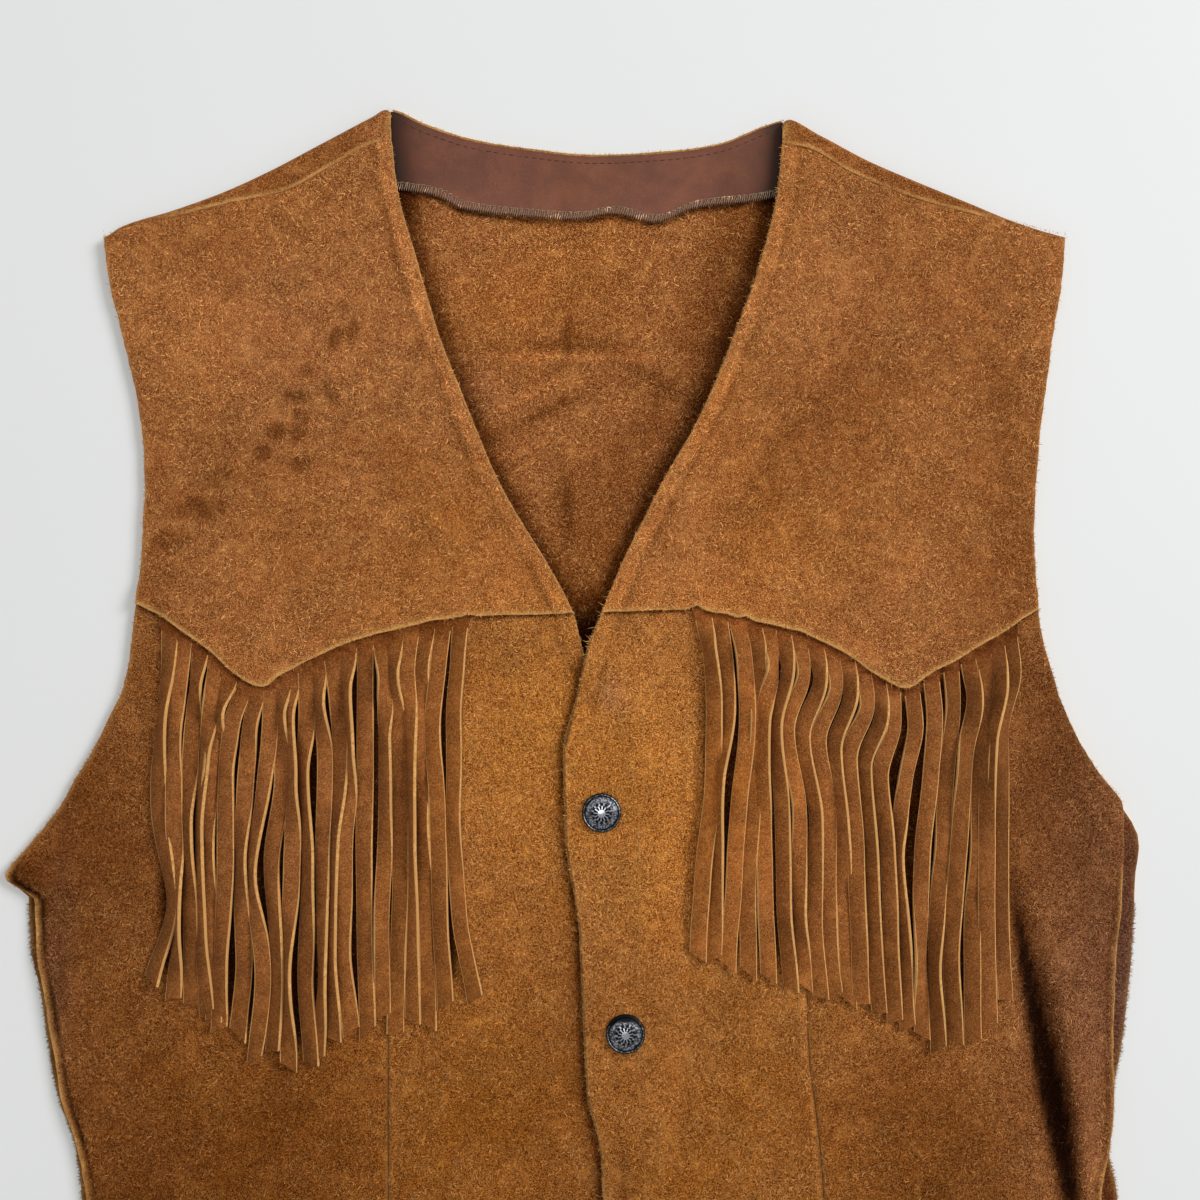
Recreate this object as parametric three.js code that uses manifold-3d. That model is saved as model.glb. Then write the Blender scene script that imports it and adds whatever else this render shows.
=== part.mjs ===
// A suede fringe vest, snapped closed and laid flat on its back.
// Sizes are in millimetres. +X is to the right as the vest is looked down on, +Y runs from the hem to
// the neck, and +Z is up. The origin is on the surface the vest lies on, at the middle of its own
// length and width. Left and right are those of someone looking down on it.

import * as THREE from "three";
import { mergeVertices } from "three/addons/utils/BufferGeometryUtils.js";
import Module from "manifold-3d";

// Driving sizes
const HEM_Y = -290;
const SUEDE = 1.4;
const FACING = 0.9;
const CLEARANCE = 0.35;
const SEAM_GAP = 0.4;
const YOKE_SEAM_INNER_Y = 77;
const YOKE_SEAM_OUTER_Y = 81.5;
const SHOULDER_TIP_Y = 239;
const NECK_SEAM_Y = 275.5;
const ARMHOLE_LEVEL_Y = 114;
const FACING_TOP_Y = 280;

// How high the fronts lie over the back
const SIDE_REST = SUEDE + CLEARANCE;
const BODY_RISE = 1.5;
const BODY_RISE_WIDTH = 60;
const LAP_LIFT = 2.1;
const NECK_ROLL_WIDTH = 38;

// The shoulder fold
const ROLL_RADIUS_TIP = 1.2;
const ROLL_RADIUS_NECK = 2.2;
const ROLL_TAIL = 6;
const ROLL_POINTS = 8;

// The yokes lap over the roots of the fringe
const LIP_TUCK = 3;
const LIP_LIFT = 3.6;
const LIP_FLAT = 6;
const LIP_FADE = 14;

// Fringe
const STRAND_WIDTH = 5.3;
const STRAND_THICKNESS = 1.2;
const STRAND_PITCH = 5.9;
const STRAND_ROWS = 6;
const ROOT_STRIP_UP = 2.5;
const ROOT_STRIP_DOWN = 4;
const STRAND_REST = SUEDE + 0.45;

// Snaps
const CAP_DIAMETER = 16.4;
const CAP_HEIGHT = 3.2;
const CAP_RIM = 1;

const NECK_LEFT_X = -77;
const NECK_RIGHT_X = 89;

// Side outlines of the fronts and of the back below the shoulder tips, a row for each level
const SIDES = [
  { y: 239, frontLeft: -198, backLeft: -197.5, frontRight: 207.5, backRight: 207 },
  { y: 219, frontLeft: -195.5, backLeft: -195, frontRight: 206, backRight: 205.5 },
  { y: 198, frontLeft: -190.5, backLeft: -190, frontRight: 202.5, backRight: 202 },
  { y: 177, frontLeft: -185.5, backLeft: -185, frontRight: 200, backRight: 199.5 },
  { y: 156, frontLeft: -182, backLeft: -181.5, frontRight: 197, backRight: 196.5 },
  { y: 135, frontLeft: -181, backLeft: -180.5, frontRight: 195.5, backRight: 195 },
  { y: 114, frontLeft: -181.5, backLeft: -181, frontRight: 194.5, backRight: 194 },
  { y: 93, frontLeft: -183, backLeft: -182.5, frontRight: 195.5, backRight: 195 },
  { y: 72, frontLeft: -185.5, backLeft: -185, frontRight: 197, backRight: 196.5 },
  { y: 51, frontLeft: -188.5, backLeft: -188, frontRight: 202.5, backRight: 202 },
  { y: 30, frontLeft: -197, backLeft: -196.5, frontRight: 210, backRight: 209.5 },
  { y: 9, frontLeft: -209, backLeft: -208.5, frontRight: 222.5, backRight: 222 },
  { y: -4, frontLeft: -216.5, backLeft: -216, frontRight: 232, backRight: 231.5 },
  { y: -20, frontLeft: -229, backLeft: -228.5, frontRight: 232.5, backRight: 239.5 },
  { y: -34, frontLeft: -239.5, backLeft: -239.5, frontRight: 232, backRight: 238 },
  { y: -44, frontLeft: -227, backLeft: -230.5, frontRight: 231.5, backRight: 237.5 },
  { y: -64, frontLeft: -226.5, backLeft: -229.5, frontRight: 229.5, backRight: 236.5 },
  { y: -85, frontLeft: -223, backLeft: -225, frontRight: 228.5, backRight: 234.5 },
  { y: -106, frontLeft: -219.5, backLeft: -222, frontRight: 228, backRight: 232 },
  { y: -127, frontLeft: -216, backLeft: -218, frontRight: 228.5, backRight: 228 },
  { y: -149, frontLeft: -209, backLeft: -210.5, frontRight: 226.5, backRight: 226.5 },
  { y: -169, frontLeft: -205.5, backLeft: -208, frontRight: 223, backRight: 230 },
  { y: -203, frontLeft: -203.5, backLeft: -206, frontRight: 223.5, backRight: 231.5 },
  { y: -245, frontLeft: -205.5, backLeft: -208, frontRight: 226.5, backRight: 229.5 },
  { y: -290, frontLeft: -208.5, backLeft: -211.5, frontRight: 227, backRight: 229 },
];

// Upper edge of the back: the shoulder folds and the neck curve between them
const BACK_TOP = [
  { x: -198, y: 235.5 },
  { x: -190, y: 240.5 },
  { x: -169, y: 247 },
  { x: -148, y: 254.5 },
  { x: -127, y: 264 },
  { x: -106, y: 275 },
  { x: -85, y: 286 },
  { x: -77, y: 290 },
  { x: -64, y: 284.5 },
  { x: -43, y: 277.5 },
  { x: -22, y: 274 },
  { x: 9, y: 271 },
  { x: 40, y: 272.5 },
  { x: 61, y: 275.5 },
  { x: 82, y: 283.5 },
  { x: 89, y: 285.5 },
  { x: 104, y: 278.5 },
  { x: 124, y: 268 },
  { x: 145, y: 259 },
  { x: 166, y: 250.5 },
  { x: 187, y: 242 },
  { x: 207.5, y: 235.5 },
];

// Shoulder seams, where the back ends on top of the shoulder and the front yokes begin
const SHOULDER_SEAM = [
  { x: -198, y: 235.5 },
  { x: -190, y: 239 },
  { x: -165, y: 245 },
  { x: -146, y: 249.5 },
  { x: -122, y: 254.5 },
  { x: -101, y: 265.5 },
  { x: -85, y: 274 },
  { x: -77, y: 275.5 },
  { x: 88, y: 274 },
  { x: 97, y: 273 },
  { x: 117, y: 262.5 },
  { x: 143, y: 252 },
  { x: 169, y: 245 },
  { x: 190, y: 240 },
  { x: 207.5, y: 235.5 },
];

// Front edges from the neck point down the V and on to the hem, with the height the edge rolls up
const FRONT_EDGES = [
  { y: 277.5, left: -76.5, right: 88, roll: 0 },
  { y: 257, left: -74, right: 86, roll: 2.2 },
  { y: 224, left: -65, right: 78, roll: 4.2 },
  { y: 192, left: -55.5, right: 66.5, roll: 4.8 },
  { y: 173, left: -48, right: 59, roll: 4.8 },
  { y: 153, left: -40, right: 49.5, roll: 4.4 },
  { y: 133, left: -31.5, right: 38, roll: 3.6 },
  { y: 115, left: -21.5, right: 29, roll: 2.8 },
  { y: 99, left: -11.5, right: 21, roll: 1.8 },
  { y: 77, left: 0, right: 12, roll: 0.8 },
  { y: 64, left: 3.5, right: 6.5, roll: 0.4 },
  { y: 58, left: 5, right: 5, roll: 0.3 },
  { y: 42, left: 15.5, right: 1.5, roll: 0 },
  { y: 19, left: 24, right: -4, roll: 0 },
  { y: -18, left: 28, right: -3, roll: 0 },
  { y: -54, left: 28, right: 2.5, roll: 0 },
  { y: -85, left: 28, right: 4, roll: 0 },
  { y: -125, left: 28, right: 6, roll: 0 },
  { y: -149, left: 30, right: 11.5, roll: 0 },
  { y: -211, left: 32, right: 14, roll: 0 },
  { y: -290, left: 34, right: 16.5, roll: 0 },
];

// Lower edge of the yokes, which dips to a point on each side
const YOKE_SEAM = [
  { x: -185, y: 81.5 },
  { x: -172, y: 75 },
  { x: -162, y: 68 },
  { x: -151, y: 60 },
  { x: -140, y: 50.5 },
  { x: -131.5, y: 46.5 },
  { x: -121, y: 52 },
  { x: -107, y: 59 },
  { x: -93, y: 65 },
  { x: -79, y: 69 },
  { x: -44, y: 75.5 },
  { x: 0, y: 77 },
  { x: 50, y: 78.5 },
  { x: 66, y: 75.5 },
  { x: 90, y: 70.5 },
  { x: 111, y: 62 },
  { x: 130, y: 49.5 },
  { x: 139, y: 45.5 },
  { x: 151, y: 52.5 },
  { x: 164, y: 59.5 },
  { x: 177, y: 67 },
  { x: 196, y: 79 },
];

// Seams between the centre fronts and the side fronts
const FRONT_SEAMS = [
  { y: 90, left: -79, right: 97 },
  { y: -80, left: -78, right: 98.5 },
  { y: -110, left: -78, right: 99.5 },
  { y: -135, left: -78, right: 102.5 },
  { y: -170, left: -78, right: 105.5 },
  { y: -290, left: -78, right: 108 },
];

// Lower edge of the back neck facing
const FACING_EDGE = [
  { x: -82, y: 257 },
  { x: -59, y: 254 },
  { x: -46, y: 248 },
  { x: -22, y: 245 },
  { x: 1, y: 243.5 },
  { x: 17, y: 246 },
  { x: 34, y: 242.5 },
  { x: 52, y: 248.5 },
  { x: 77, y: 251.5 },
  { x: 94, y: 255 },
];

// Largest folds of the fronts: the middle of each, its turn from the Y axis in degrees, its half
// length and half width, and its height, which is below nought for a trough
const FOLDS = [
  { x: 209, y: -118, turn: 4, length: 62, width: 11, height: 5 },
  { x: 193, y: -92, turn: 9, length: 55, width: 7, height: -1.1 },
  { x: 216, y: -228, turn: -4, length: 50, width: 9, height: 2.6 },
  { x: -200, y: -8, turn: -52, length: 36, width: 12, height: 1.4 },
  { x: -203, y: -96, turn: -8, length: 46, width: 10, height: 1.5 },
  { x: -120, y: 150, turn: 12, length: 70, width: 34, height: 0.8 },
  { x: 140, y: 160, turn: -14, length: 70, width: 34, height: 0.9 },
  { x: -30, y: -170, turn: 6, length: 60, width: 24, height: 0.6 },
  { x: 70, y: -190, turn: -5, length: 60, width: 22, height: 0.7 },
];

// Strands of fringe: the middle of each at its root, at three levels below and at its tip
const LEFT_STRANDS = [
  { root: -169.5, high: -172, middle: -174.5, low: -172, tip: -174.5, end: -77 },
  { root: -163, high: -167, middle: -167, low: -164.5, tip: -167.5, end: -84.5 },
  { root: -156, high: -159.5, middle: -161, low: -160, tip: -160, end: -87 },
  { root: -149.5, high: -153.5, middle: -156, low: -155, tip: -153.5, end: -90.5 },
  { root: -143, high: -151, middle: -153.5, low: -151.5, tip: -150.5, end: -94 },
  { root: -136, high: -145, middle: -145.5, low: -147, tip: -148.5, end: -97.5 },
  { root: -131, high: -137, middle: -139, low: -138, tip: -140.5, end: -100 },
  { root: -126.5, high: -129, middle: -134, low: -129.5, tip: -133.5, end: -110 },
  { root: -120.5, high: -121.5, middle: -126, low: -123.5, tip: -126, end: -106.5 },
  { root: -116.5, high: -116.5, middle: -117.5, low: -119, tip: -119, end: -113 },
  { root: -112, high: -112.5, middle: -111, low: -112, tip: -109.5, end: -111.5 },
  { root: -107, high: -103.5, middle: -104.5, low: -104.5, tip: -107, end: -110 },
  { root: -101.5, high: -97, middle: -99.5, low: -101, tip: -100.5, end: -101.5 },
  { root: -94.5, high: -92.5, middle: -95, low: -96, tip: -93, end: -98.5 },
  { root: -87.5, high: -87, middle: -87.5, low: -87, tip: -86, end: -99 },
  { root: -81.5, high: -78.5, middle: -78.5, low: -80, tip: -79.5, end: -92 },
  { root: -74.5, high: -72.5, middle: -72, low: -73, tip: -74.5, end: -99 },
  { root: -67, high: -67, middle: -67, low: -67, tip: -67, end: -94 },
  { root: -60.5, high: -63.5, middle: -63, low: -61.5, tip: -60.5, end: -96 },
  { root: -54, high: -58.5, middle: -56.5, low: -55.5, tip: -53.5, end: -87.5 },
  { root: -47, high: -50, middle: -50, low: -47.5, tip: -41, end: -85 },
];
const RIGHT_STRANDS = [
  { root: 54, high: 59, middle: 58.5, low: 54, tip: 52.5, end: -67 },
  { root: 61, high: 65, middle: 61, low: 60, tip: 59, end: -68 },
  { root: 68.5, high: 73, middle: 70, low: 67, tip: 65, end: -71 },
  { root: 75, high: 77.5, middle: 75.5, low: 73.5, tip: 73.5, end: -74 },
  { root: 81, high: 80, middle: 79.5, low: 80.5, tip: 82, end: -76 },
  { root: 87.5, high: 85, middle: 87.5, low: 88.5, tip: 91.5, end: -80 },
  { root: 94, high: 89.5, middle: 94.5, low: 95, tip: 97.5, end: -80 },
  { root: 101, high: 96, middle: 101.5, low: 101, tip: 104, end: -84 },
  { root: 107.5, high: 103, middle: 107, low: 107, tip: 110, end: -84 },
  { root: 114, high: 109, middle: 112.5, low: 114, tip: 115.5, end: -86 },
  { root: 121, high: 115.5, middle: 118, low: 119.5, tip: 121, end: -87 },
  { root: 127.5, high: 122, middle: 124.5, low: 126, tip: 128.5, end: -90 },
  { root: 134, high: 128.5, middle: 131.5, low: 133, tip: 135, end: -94 },
  { root: 142, high: 139, middle: 136, low: 139, tip: 140.5, end: -97 },
  { root: 150, high: 150, middle: 146, low: 145, tip: 146.5, end: -100 },
  { root: 158.5, high: 157, middle: 154.5, low: 151.5, tip: 153, end: -106 },
  { root: 165.5, high: 164, middle: 161.5, low: 158, tip: 160, end: -102 },
  { root: 171.5, high: 171, middle: 169.5, low: 167, tip: 167.5, end: -103 },
  { root: 177.5, high: 174, middle: 173, low: 173, tip: 174.5, end: -97 },
  { root: 183, high: 180, middle: 179.5, low: 179, tip: 181, end: -85 },
];

// Snap caps, down the right front's edge
const SNAPS = [
  { x: 12, y: -6.5 },
  { x: 22, y: -99 },
  { x: 29, y: -191.5 },
];

const mix = (a, b, t) => a + (b - a) * t;

function smooth(t) {
  const s = THREE.MathUtils.clamp(t, 0, 1);
  return s * s * (3 - 2 * s);
}

// Reads a column of a table whose rows are in rising or falling order of the key
function read(table, key, column, at) {
  const rising = table[table.length - 1][key] > table[0][key];
  const rows = rising ? table : [...table].reverse();
  if (at <= rows[0][key]) return rows[0][column];
  for (let i = 1; i < rows.length; i += 1) {
    if (at <= rows[i][key]) {
      const t = (at - rows[i - 1][key]) / (rows[i][key] - rows[i - 1][key]);
      return mix(rows[i - 1][column], rows[i][column], t);
    }
  }
  return rows[rows.length - 1][column];
}

const steps = (count) => Array.from({ length: count + 1 }, (_, i) => i / count);

function rollRadius(x) {
  const fromNeck = x < 0 ? NECK_LEFT_X - x : x - NECK_RIGHT_X;
  const shoulder = x < 0 ? NECK_LEFT_X - BACK_TOP[0].x : BACK_TOP.at(-1).x - NECK_RIGHT_X;
  return mix(ROLL_RADIUS_NECK, ROLL_RADIUS_TIP, THREE.MathUtils.clamp(fromNeck / shoulder, 0, 1));
}

function foldHeight(fold, x, y) {
  const turn = THREE.MathUtils.degToRad(fold.turn);
  const dx = x - fold.x;
  const dy = y - fold.y;
  const along = (dy * Math.cos(turn) - dx * Math.sin(turn)) / fold.length;
  const across = (dx * Math.cos(turn) + dy * Math.sin(turn)) / fold.width;
  return fold.height * Math.exp(-along * along - across * across);
}

// Height of the underside of the front's cloth over the surface the vest lies on
function frontUnder(x, y) {
  const toLeft = x - read(SIDES, "y", "frontLeft", y);
  const toRight = read(SIDES, "y", "frontRight", y) - x;
  let z = SIDE_REST + BODY_RISE * smooth(Math.min(toLeft, toRight) / BODY_RISE_WIDTH);
  for (const fold of FOLDS) z += foldHeight(fold, x, y) * smooth(Math.min(toLeft, toRight) / 14);
  const middle = (read(FRONT_EDGES, "y", "left", y) + read(FRONT_EDGES, "y", "right", y)) / 2;
  const edge = read(FRONT_EDGES, "y", x < middle ? "left" : "right", y);
  const inward = Math.max(0, x < middle ? edge - x : x - edge);
  z += read(FRONT_EDGES, "y", "roll", y) * Math.exp(-((inward / NECK_ROLL_WIDTH) ** 2));
  const toSeam = read(SHOULDER_SEAM, "x", "y", x) - y;
  z = mix(2 * rollRadius(x), z, smooth(toSeam / 45));
  return Math.max(z, SIDE_REST);
}

// The right front lies over the left front where they lap
function rightFrontUnder(x, y) {
  const lapEnd = read(FRONT_EDGES, "y", "left", y) + 5;
  const lap = LAP_LIFT * (1 - smooth((x - lapEnd) / 16)) * smooth((96 - y) / 28);
  return frontUnder(x, y) + lap;
}

// The yokes lift over the roots of the fringe
function yokeUnder(x, y) {
  const above = y - read(YOKE_SEAM, "x", "y", x);
  const base = x > 0 ? rightFrontUnder(x, y) : frontUnder(x, y);
  return base + LIP_LIFT * (1 - smooth((above - LIP_FLAT) / LIP_FADE));
}

// A closed wall through a grid of places, its underside at the given height
function wall(grid, under, thickness) {
  const rows = grid.length;
  const columns = grid[0].length;
  const positions = [];
  for (const lift of [0, thickness]) {
    for (const row of grid) {
      for (const [x, y] of row) positions.push(x, y, under(x, y) + lift);
    }
  }
  const top = rows * columns;
  const index = [];
  const quad = (a, b, c, d) => index.push(a, b, c, a, c, d);
  for (let j = 0; j < rows - 1; j += 1) {
    for (let i = 0; i < columns - 1; i += 1) {
      const a = j * columns + i;
      quad(a, a + columns, a + columns + 1, a + 1);
      quad(top + a, top + a + 1, top + a + columns + 1, top + a + columns);
    }
  }
  const rim = [];
  for (let i = 0; i < columns; i += 1) rim.push(i);
  for (let j = 1; j < rows; j += 1) rim.push(j * columns + columns - 1);
  for (let i = columns - 2; i >= 0; i -= 1) rim.push((rows - 1) * columns + i);
  for (let j = rows - 2; j > 0; j -= 1) rim.push(j * columns);
  rim.forEach((from, k) => {
    const to = rim[(k + 1) % rim.length];
    quad(from, to, top + to, top + from);
  });
  return closed(positions, index);
}

function closed(positions, index) {
  const geometry = new THREE.BufferGeometry();
  geometry.setAttribute("position", new THREE.Float32BufferAttribute(positions, 3));
  geometry.setIndex(index);
  return geometry;
}

// Places on a panel: low and high give its ends from x, left and right give its sides from y
function panel({ low, high, left, right, corners, columns, rows }) {
  return rows.map((v) => columns.map((u) => {
    const leftY = mix(corners.lowLeft, corners.highLeft, v);
    const rightY = mix(corners.lowRight, corners.highRight, v);
    const lowX = mix(left(corners.lowLeft), right(corners.lowRight), u);
    const highX = mix(left(corners.highLeft), right(corners.highRight), u);
    return [mix(left(leftY), right(rightY), u), mix(low(lowX), high(highX), v)];
  }));
}

const frontLeft = (y) => read(SIDES, "y", "frontLeft", y);
const frontRight = (y) => read(SIDES, "y", "frontRight", y);
const leftEdge = (y) => read(FRONT_EDGES, "y", "left", y);
const rightEdge = (y) => read(FRONT_EDGES, "y", "right", y);
const leftSeam = (y) => read(FRONT_SEAMS, "y", "left", y);
const rightSeam = (y) => read(FRONT_SEAMS, "y", "right", y);
const yokeSeam = (x) => read(YOKE_SEAM, "x", "y", x);
const shoulderSeam = (x) => read(SHOULDER_SEAM, "x", "y", x) - SEAM_GAP / 2;
const tuckedSeam = (x) => yokeSeam(x) + LIP_TUCK;
const hem = () => HEM_Y;

// Yokes have rows close together at the lip, then even ones up to the shoulder
const YOKE_COLUMNS = 14;
const YOKE_ROWS = [0, 0.035, 0.08, 0.13, 0.2, 0.3, 0.4, 0.5, 0.6, 0.7, 0.8, 0.9, 1];

function yoke(side) {
  const isLeft = side === "left";
  const innerY = YOKE_SEAM_INNER_Y;
  return wall(panel({
    low: yokeSeam,
    high: shoulderSeam,
    left: isLeft ? frontLeft : rightEdge,
    right: isLeft ? leftEdge : frontRight,
    corners: {
      lowLeft: isLeft ? YOKE_SEAM_OUTER_Y : innerY,
      lowRight: isLeft ? innerY : YOKE_SEAM_OUTER_Y,
      highLeft: isLeft ? SHOULDER_TIP_Y : NECK_SEAM_Y,
      highRight: isLeft ? NECK_SEAM_Y : SHOULDER_TIP_Y,
    },
    columns: steps(YOKE_COLUMNS),
    rows: YOKE_ROWS,
  }), yokeUnder, SUEDE);
}

// A lower front panel between two upright edges, from the hem to under the yoke's lip, its rows at
// the levels of the table of sides
function lowerFront(left, right, under, columns) {
  const topY = YOKE_SEAM_OUTER_Y + LIP_TUCK;
  const levels = SIDES.filter((row) => row.y < topY - 4).reverse();
  const rows = levels.map((row) => (row.y - HEM_Y) / (topY - HEM_Y));
  const topOf = (edge) => tuckedSeam(edge(YOKE_SEAM_INNER_Y));
  return wall(panel({
    low: hem,
    high: tuckedSeam,
    left,
    right,
    corners: { lowLeft: HEM_Y, lowRight: HEM_Y, highLeft: topOf(left), highRight: topOf(right) },
    columns: steps(columns),
    rows: [...rows, 1],
  }), under, SUEDE);
}

// Rows of the back follow the table of its sides; the upper rows spread to meet the top edge
function backFlat() {
  const rows = SIDES.filter((row) => row.y < SHOULDER_TIP_Y).reverse();
  const tipY = BACK_TOP[0].y;
  rows.push({ y: tipY, backLeft: SIDES[0].backLeft, backRight: SIDES[0].backRight });
  return rows.map((row) => steps(18).map((u) => {
    const topX = mix(SIDES[0].backLeft, SIDES[0].backRight, u);
    const overNeck = topX > NECK_LEFT_X && topX < NECK_RIGHT_X;
    const inset = overNeck ? 0 : rollRadius(topX) + SUEDE / 2 + 1;
    const topY = read(BACK_TOP, "x", "y", topX) - inset;
    const spread = Math.max(0, row.y - ARMHOLE_LEVEL_Y) / (tipY - ARMHOLE_LEVEL_Y);
    return [mix(row.backLeft, row.backRight, u), row.y + spread * (topY - tipY)];
  }));
}

// One section of the shoulder fold at x: from a tail in the back, round the fold, to the seam
function rollSection(x) {
  const radius = rollRadius(x);
  const middleZ = SUEDE / 2 + radius;
  const foldY = read(BACK_TOP, "x", "y", x);
  const centreY = foldY - radius - SUEDE / 2;
  const seamY = read(SHOULDER_SEAM, "x", "y", x) + SEAM_GAP / 2;
  const forward = Math.max(0, centreY - seamY);
  const cut = THREE.MathUtils.clamp((seamY - centreY) / (radius - SUEDE / 2), 0, 1);
  const lastAngle = Math.acos(cut);
  const arc = (lastAngle + Math.PI / 2) * radius;
  const outer = [];
  const inner = [];
  const put = (y, z, ny, nz) => {
    outer.push([x, y + ny * SUEDE / 2, z + nz * SUEDE / 2]);
    inner.push([x, y - ny * SUEDE / 2, z - nz * SUEDE / 2]);
  };
  put(centreY - ROLL_TAIL, SUEDE / 2, 0, -1);
  for (const t of steps(ROLL_POINTS)) {
    const distance = t * (arc + forward);
    const angle = Math.min(distance, arc) / radius - Math.PI / 2;
    const ny = Math.cos(angle);
    const nz = Math.sin(angle);
    const past = Math.max(0, distance - arc);
    put(centreY + radius * ny - past, middleZ + radius * nz, ny, nz);
  }
  return [...outer, ...inner.reverse()];
}

// The shoulder fold as a closed body, its sections in line with the columns of the yoke
function shoulderRoll(places) {
  const sections = places.map((x) => rollSection(x));
  const ring = sections[0].length;
  const half = ring / 2;
  const positions = sections.flat(2);
  const index = [];
  for (let s = 0; s < sections.length - 1; s += 1) {
    for (let k = 0; k < ring; k += 1) {
      const a = s * ring + k;
      const b = s * ring + ((k + 1) % ring);
      index.push(a, b, b + ring, a, b + ring, a + ring);
    }
  }
  const last = (sections.length - 1) * ring;
  for (let k = 0; k < half - 1; k += 1) {
    const mirror = ring - 1 - k;
    index.push(k, mirror, k + 1, k + 1, mirror, mirror - 1);
    index.push(last + k, last + k + 1, last + mirror, last + k + 1, last + mirror - 1, last + mirror);
  }
  return closed(positions, index);
}

// Pushes neighbouring strands apart until each has its own width, keeping their middle
function spread(places) {
  const apart = [...places];
  for (let pass = 0; pass < 60; pass += 1) {
    for (let i = 1; i < apart.length; i += 1) {
      const short = STRAND_PITCH - (apart[i] - apart[i - 1]);
      if (short > 0) {
        apart[i - 1] -= short / 2;
        apart[i] += short / 2;
      }
    }
  }
  return apart;
}

function strandWalls(strands, under) {
  const levels = ["root", "high", "middle", "low", "tip"];
  const lines = levels.map((level) => spread(strands.map((strand) => strand[level])));
  return strands.map((strand, i) => {
    const middles = lines.map((line) => new THREE.Vector3(line[i], 0, 0));
    const path = new THREE.CatmullRomCurve3(middles, false, "catmullrom", 0.5);
    const startY = yokeSeam(lines[0][i]) + 0.5;
    const grid = steps(STRAND_ROWS).map((t) => {
      const x = path.getPoint(t).x;
      const y = mix(startY, strand.end, t);
      const halfWidth = STRAND_WIDTH / 2;
      const slant = t === 1 ? 3 : 0;
      return [[x + halfWidth, y + slant], [x - halfWidth, y]];
    });
    return wall(grid, (x, y) => under(x, y) + STRAND_REST, STRAND_THICKNESS);
  });
}

// The strip that the strands are cut from, under the lip of the yoke
function rootStrip(strands, under) {
  const fromX = strands[0].root - STRAND_WIDTH;
  const toX = strands.at(-1).root + STRAND_WIDTH;
  const across = steps(16).map((t) => mix(fromX, toX, t));
  const grid = [-ROOT_STRIP_DOWN, ROOT_STRIP_UP].map((offset) => across.map((x) => [x, yokeSeam(x) + offset]));
  return wall(grid, (x, y) => under(x, y) + STRAND_REST, STRAND_THICKNESS);
}

const wasm = await Module();
wasm.setup();

function toSolid(geometry) {
  const merged = mergeVertices(geometry, 1e-4);
  return new wasm.Manifold(new wasm.Mesh({
    numProp: 3,
    vertProperties: new Float32Array(merged.attributes.position.array),
    triVerts: new Uint32Array(merged.index.array),
  }));
}

function joined(geometries) {
  const [first, ...others] = geometries.map(toSolid);
  const mesh = others.reduce((sum, next) => sum.add(next), first).getMesh();
  return closed([...mesh.vertProperties], [...mesh.triVerts]);
}

// A domed cap with a rolled rim and a flat underside
function snapCap() {
  const radius = CAP_DIAMETER / 2;
  const profile = [
    [0, 0],
    [radius - 0.6, 0],
    [radius, 0.5],
    [radius, 1],
    [radius - CAP_RIM, 1.5],
    [radius * 0.7, 2.4],
    [radius * 0.35, CAP_HEIGHT - 0.2],
    [0, CAP_HEIGHT],
  ];
  const geometry = new THREE.LatheGeometry(profile.map(([r, z]) => new THREE.Vector2(r, z)), 20);
  geometry.rotateX(Math.PI / 2);
  return geometry;
}

const suede = (color) => new THREE.MeshStandardMaterial({ color, roughness: 0.95, metalness: 0 });
const YOKE_SUEDE = suede(0x8c5832);
const FRONT_SUEDE = suede(0x965a28);
const SIDE_SUEDE = suede(0x7a4620);
const BACK_SUEDE = suede(0x7d411e);
const FRINGE_SUEDE = suede(0x8f5528);
const FACING_LEATHER = new THREE.MeshStandardMaterial({ color: 0x69463c, roughness: 0.8, metalness: 0 });
const ANTIQUE_METAL = new THREE.MeshStandardMaterial({ color: 0x5b5e66, roughness: 0.4, metalness: 1 });

const vest = new THREE.Group();

function add(name, geometry, material) {
  const mesh = new THREE.Mesh(geometry, material);
  mesh.name = name;
  vest.add(mesh);
  return mesh;
}

const columnsAlong = (fromX, toX) => steps(YOKE_COLUMNS).map((t) => mix(fromX, toX, t));
const backParts = [
  wall(backFlat(), () => 0, SUEDE),
  shoulderRoll(columnsAlong(frontLeft(SHOULDER_TIP_Y), leftEdge(NECK_SEAM_Y)).slice(1)),
  shoulderRoll(columnsAlong(rightEdge(NECK_SEAM_Y), frontRight(SHOULDER_TIP_Y)).slice(0, -1)),
];
add("back_panel", joined(backParts), BACK_SUEDE);

const facingGrid = panel({
  low: (x) => read(FACING_EDGE, "x", "y", x),
  high: (x) => Math.min(read(BACK_TOP, "x", "y", x), FACING_TOP_Y) - 1,
  left: () => NECK_LEFT_X - 4,
  right: () => NECK_RIGHT_X + 4,
  corners: { lowLeft: 0, lowRight: 0, highLeft: 0, highRight: 0 },
  columns: steps(20),
  rows: steps(3),
});
add("back_neck_facing", wall(facingGrid, () => SUEDE + CLEARANCE, FACING), FACING_LEATHER);

add("front_yoke_left", yoke("left"), YOKE_SUEDE);
add("front_yoke_right", yoke("right"), YOKE_SUEDE);

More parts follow.
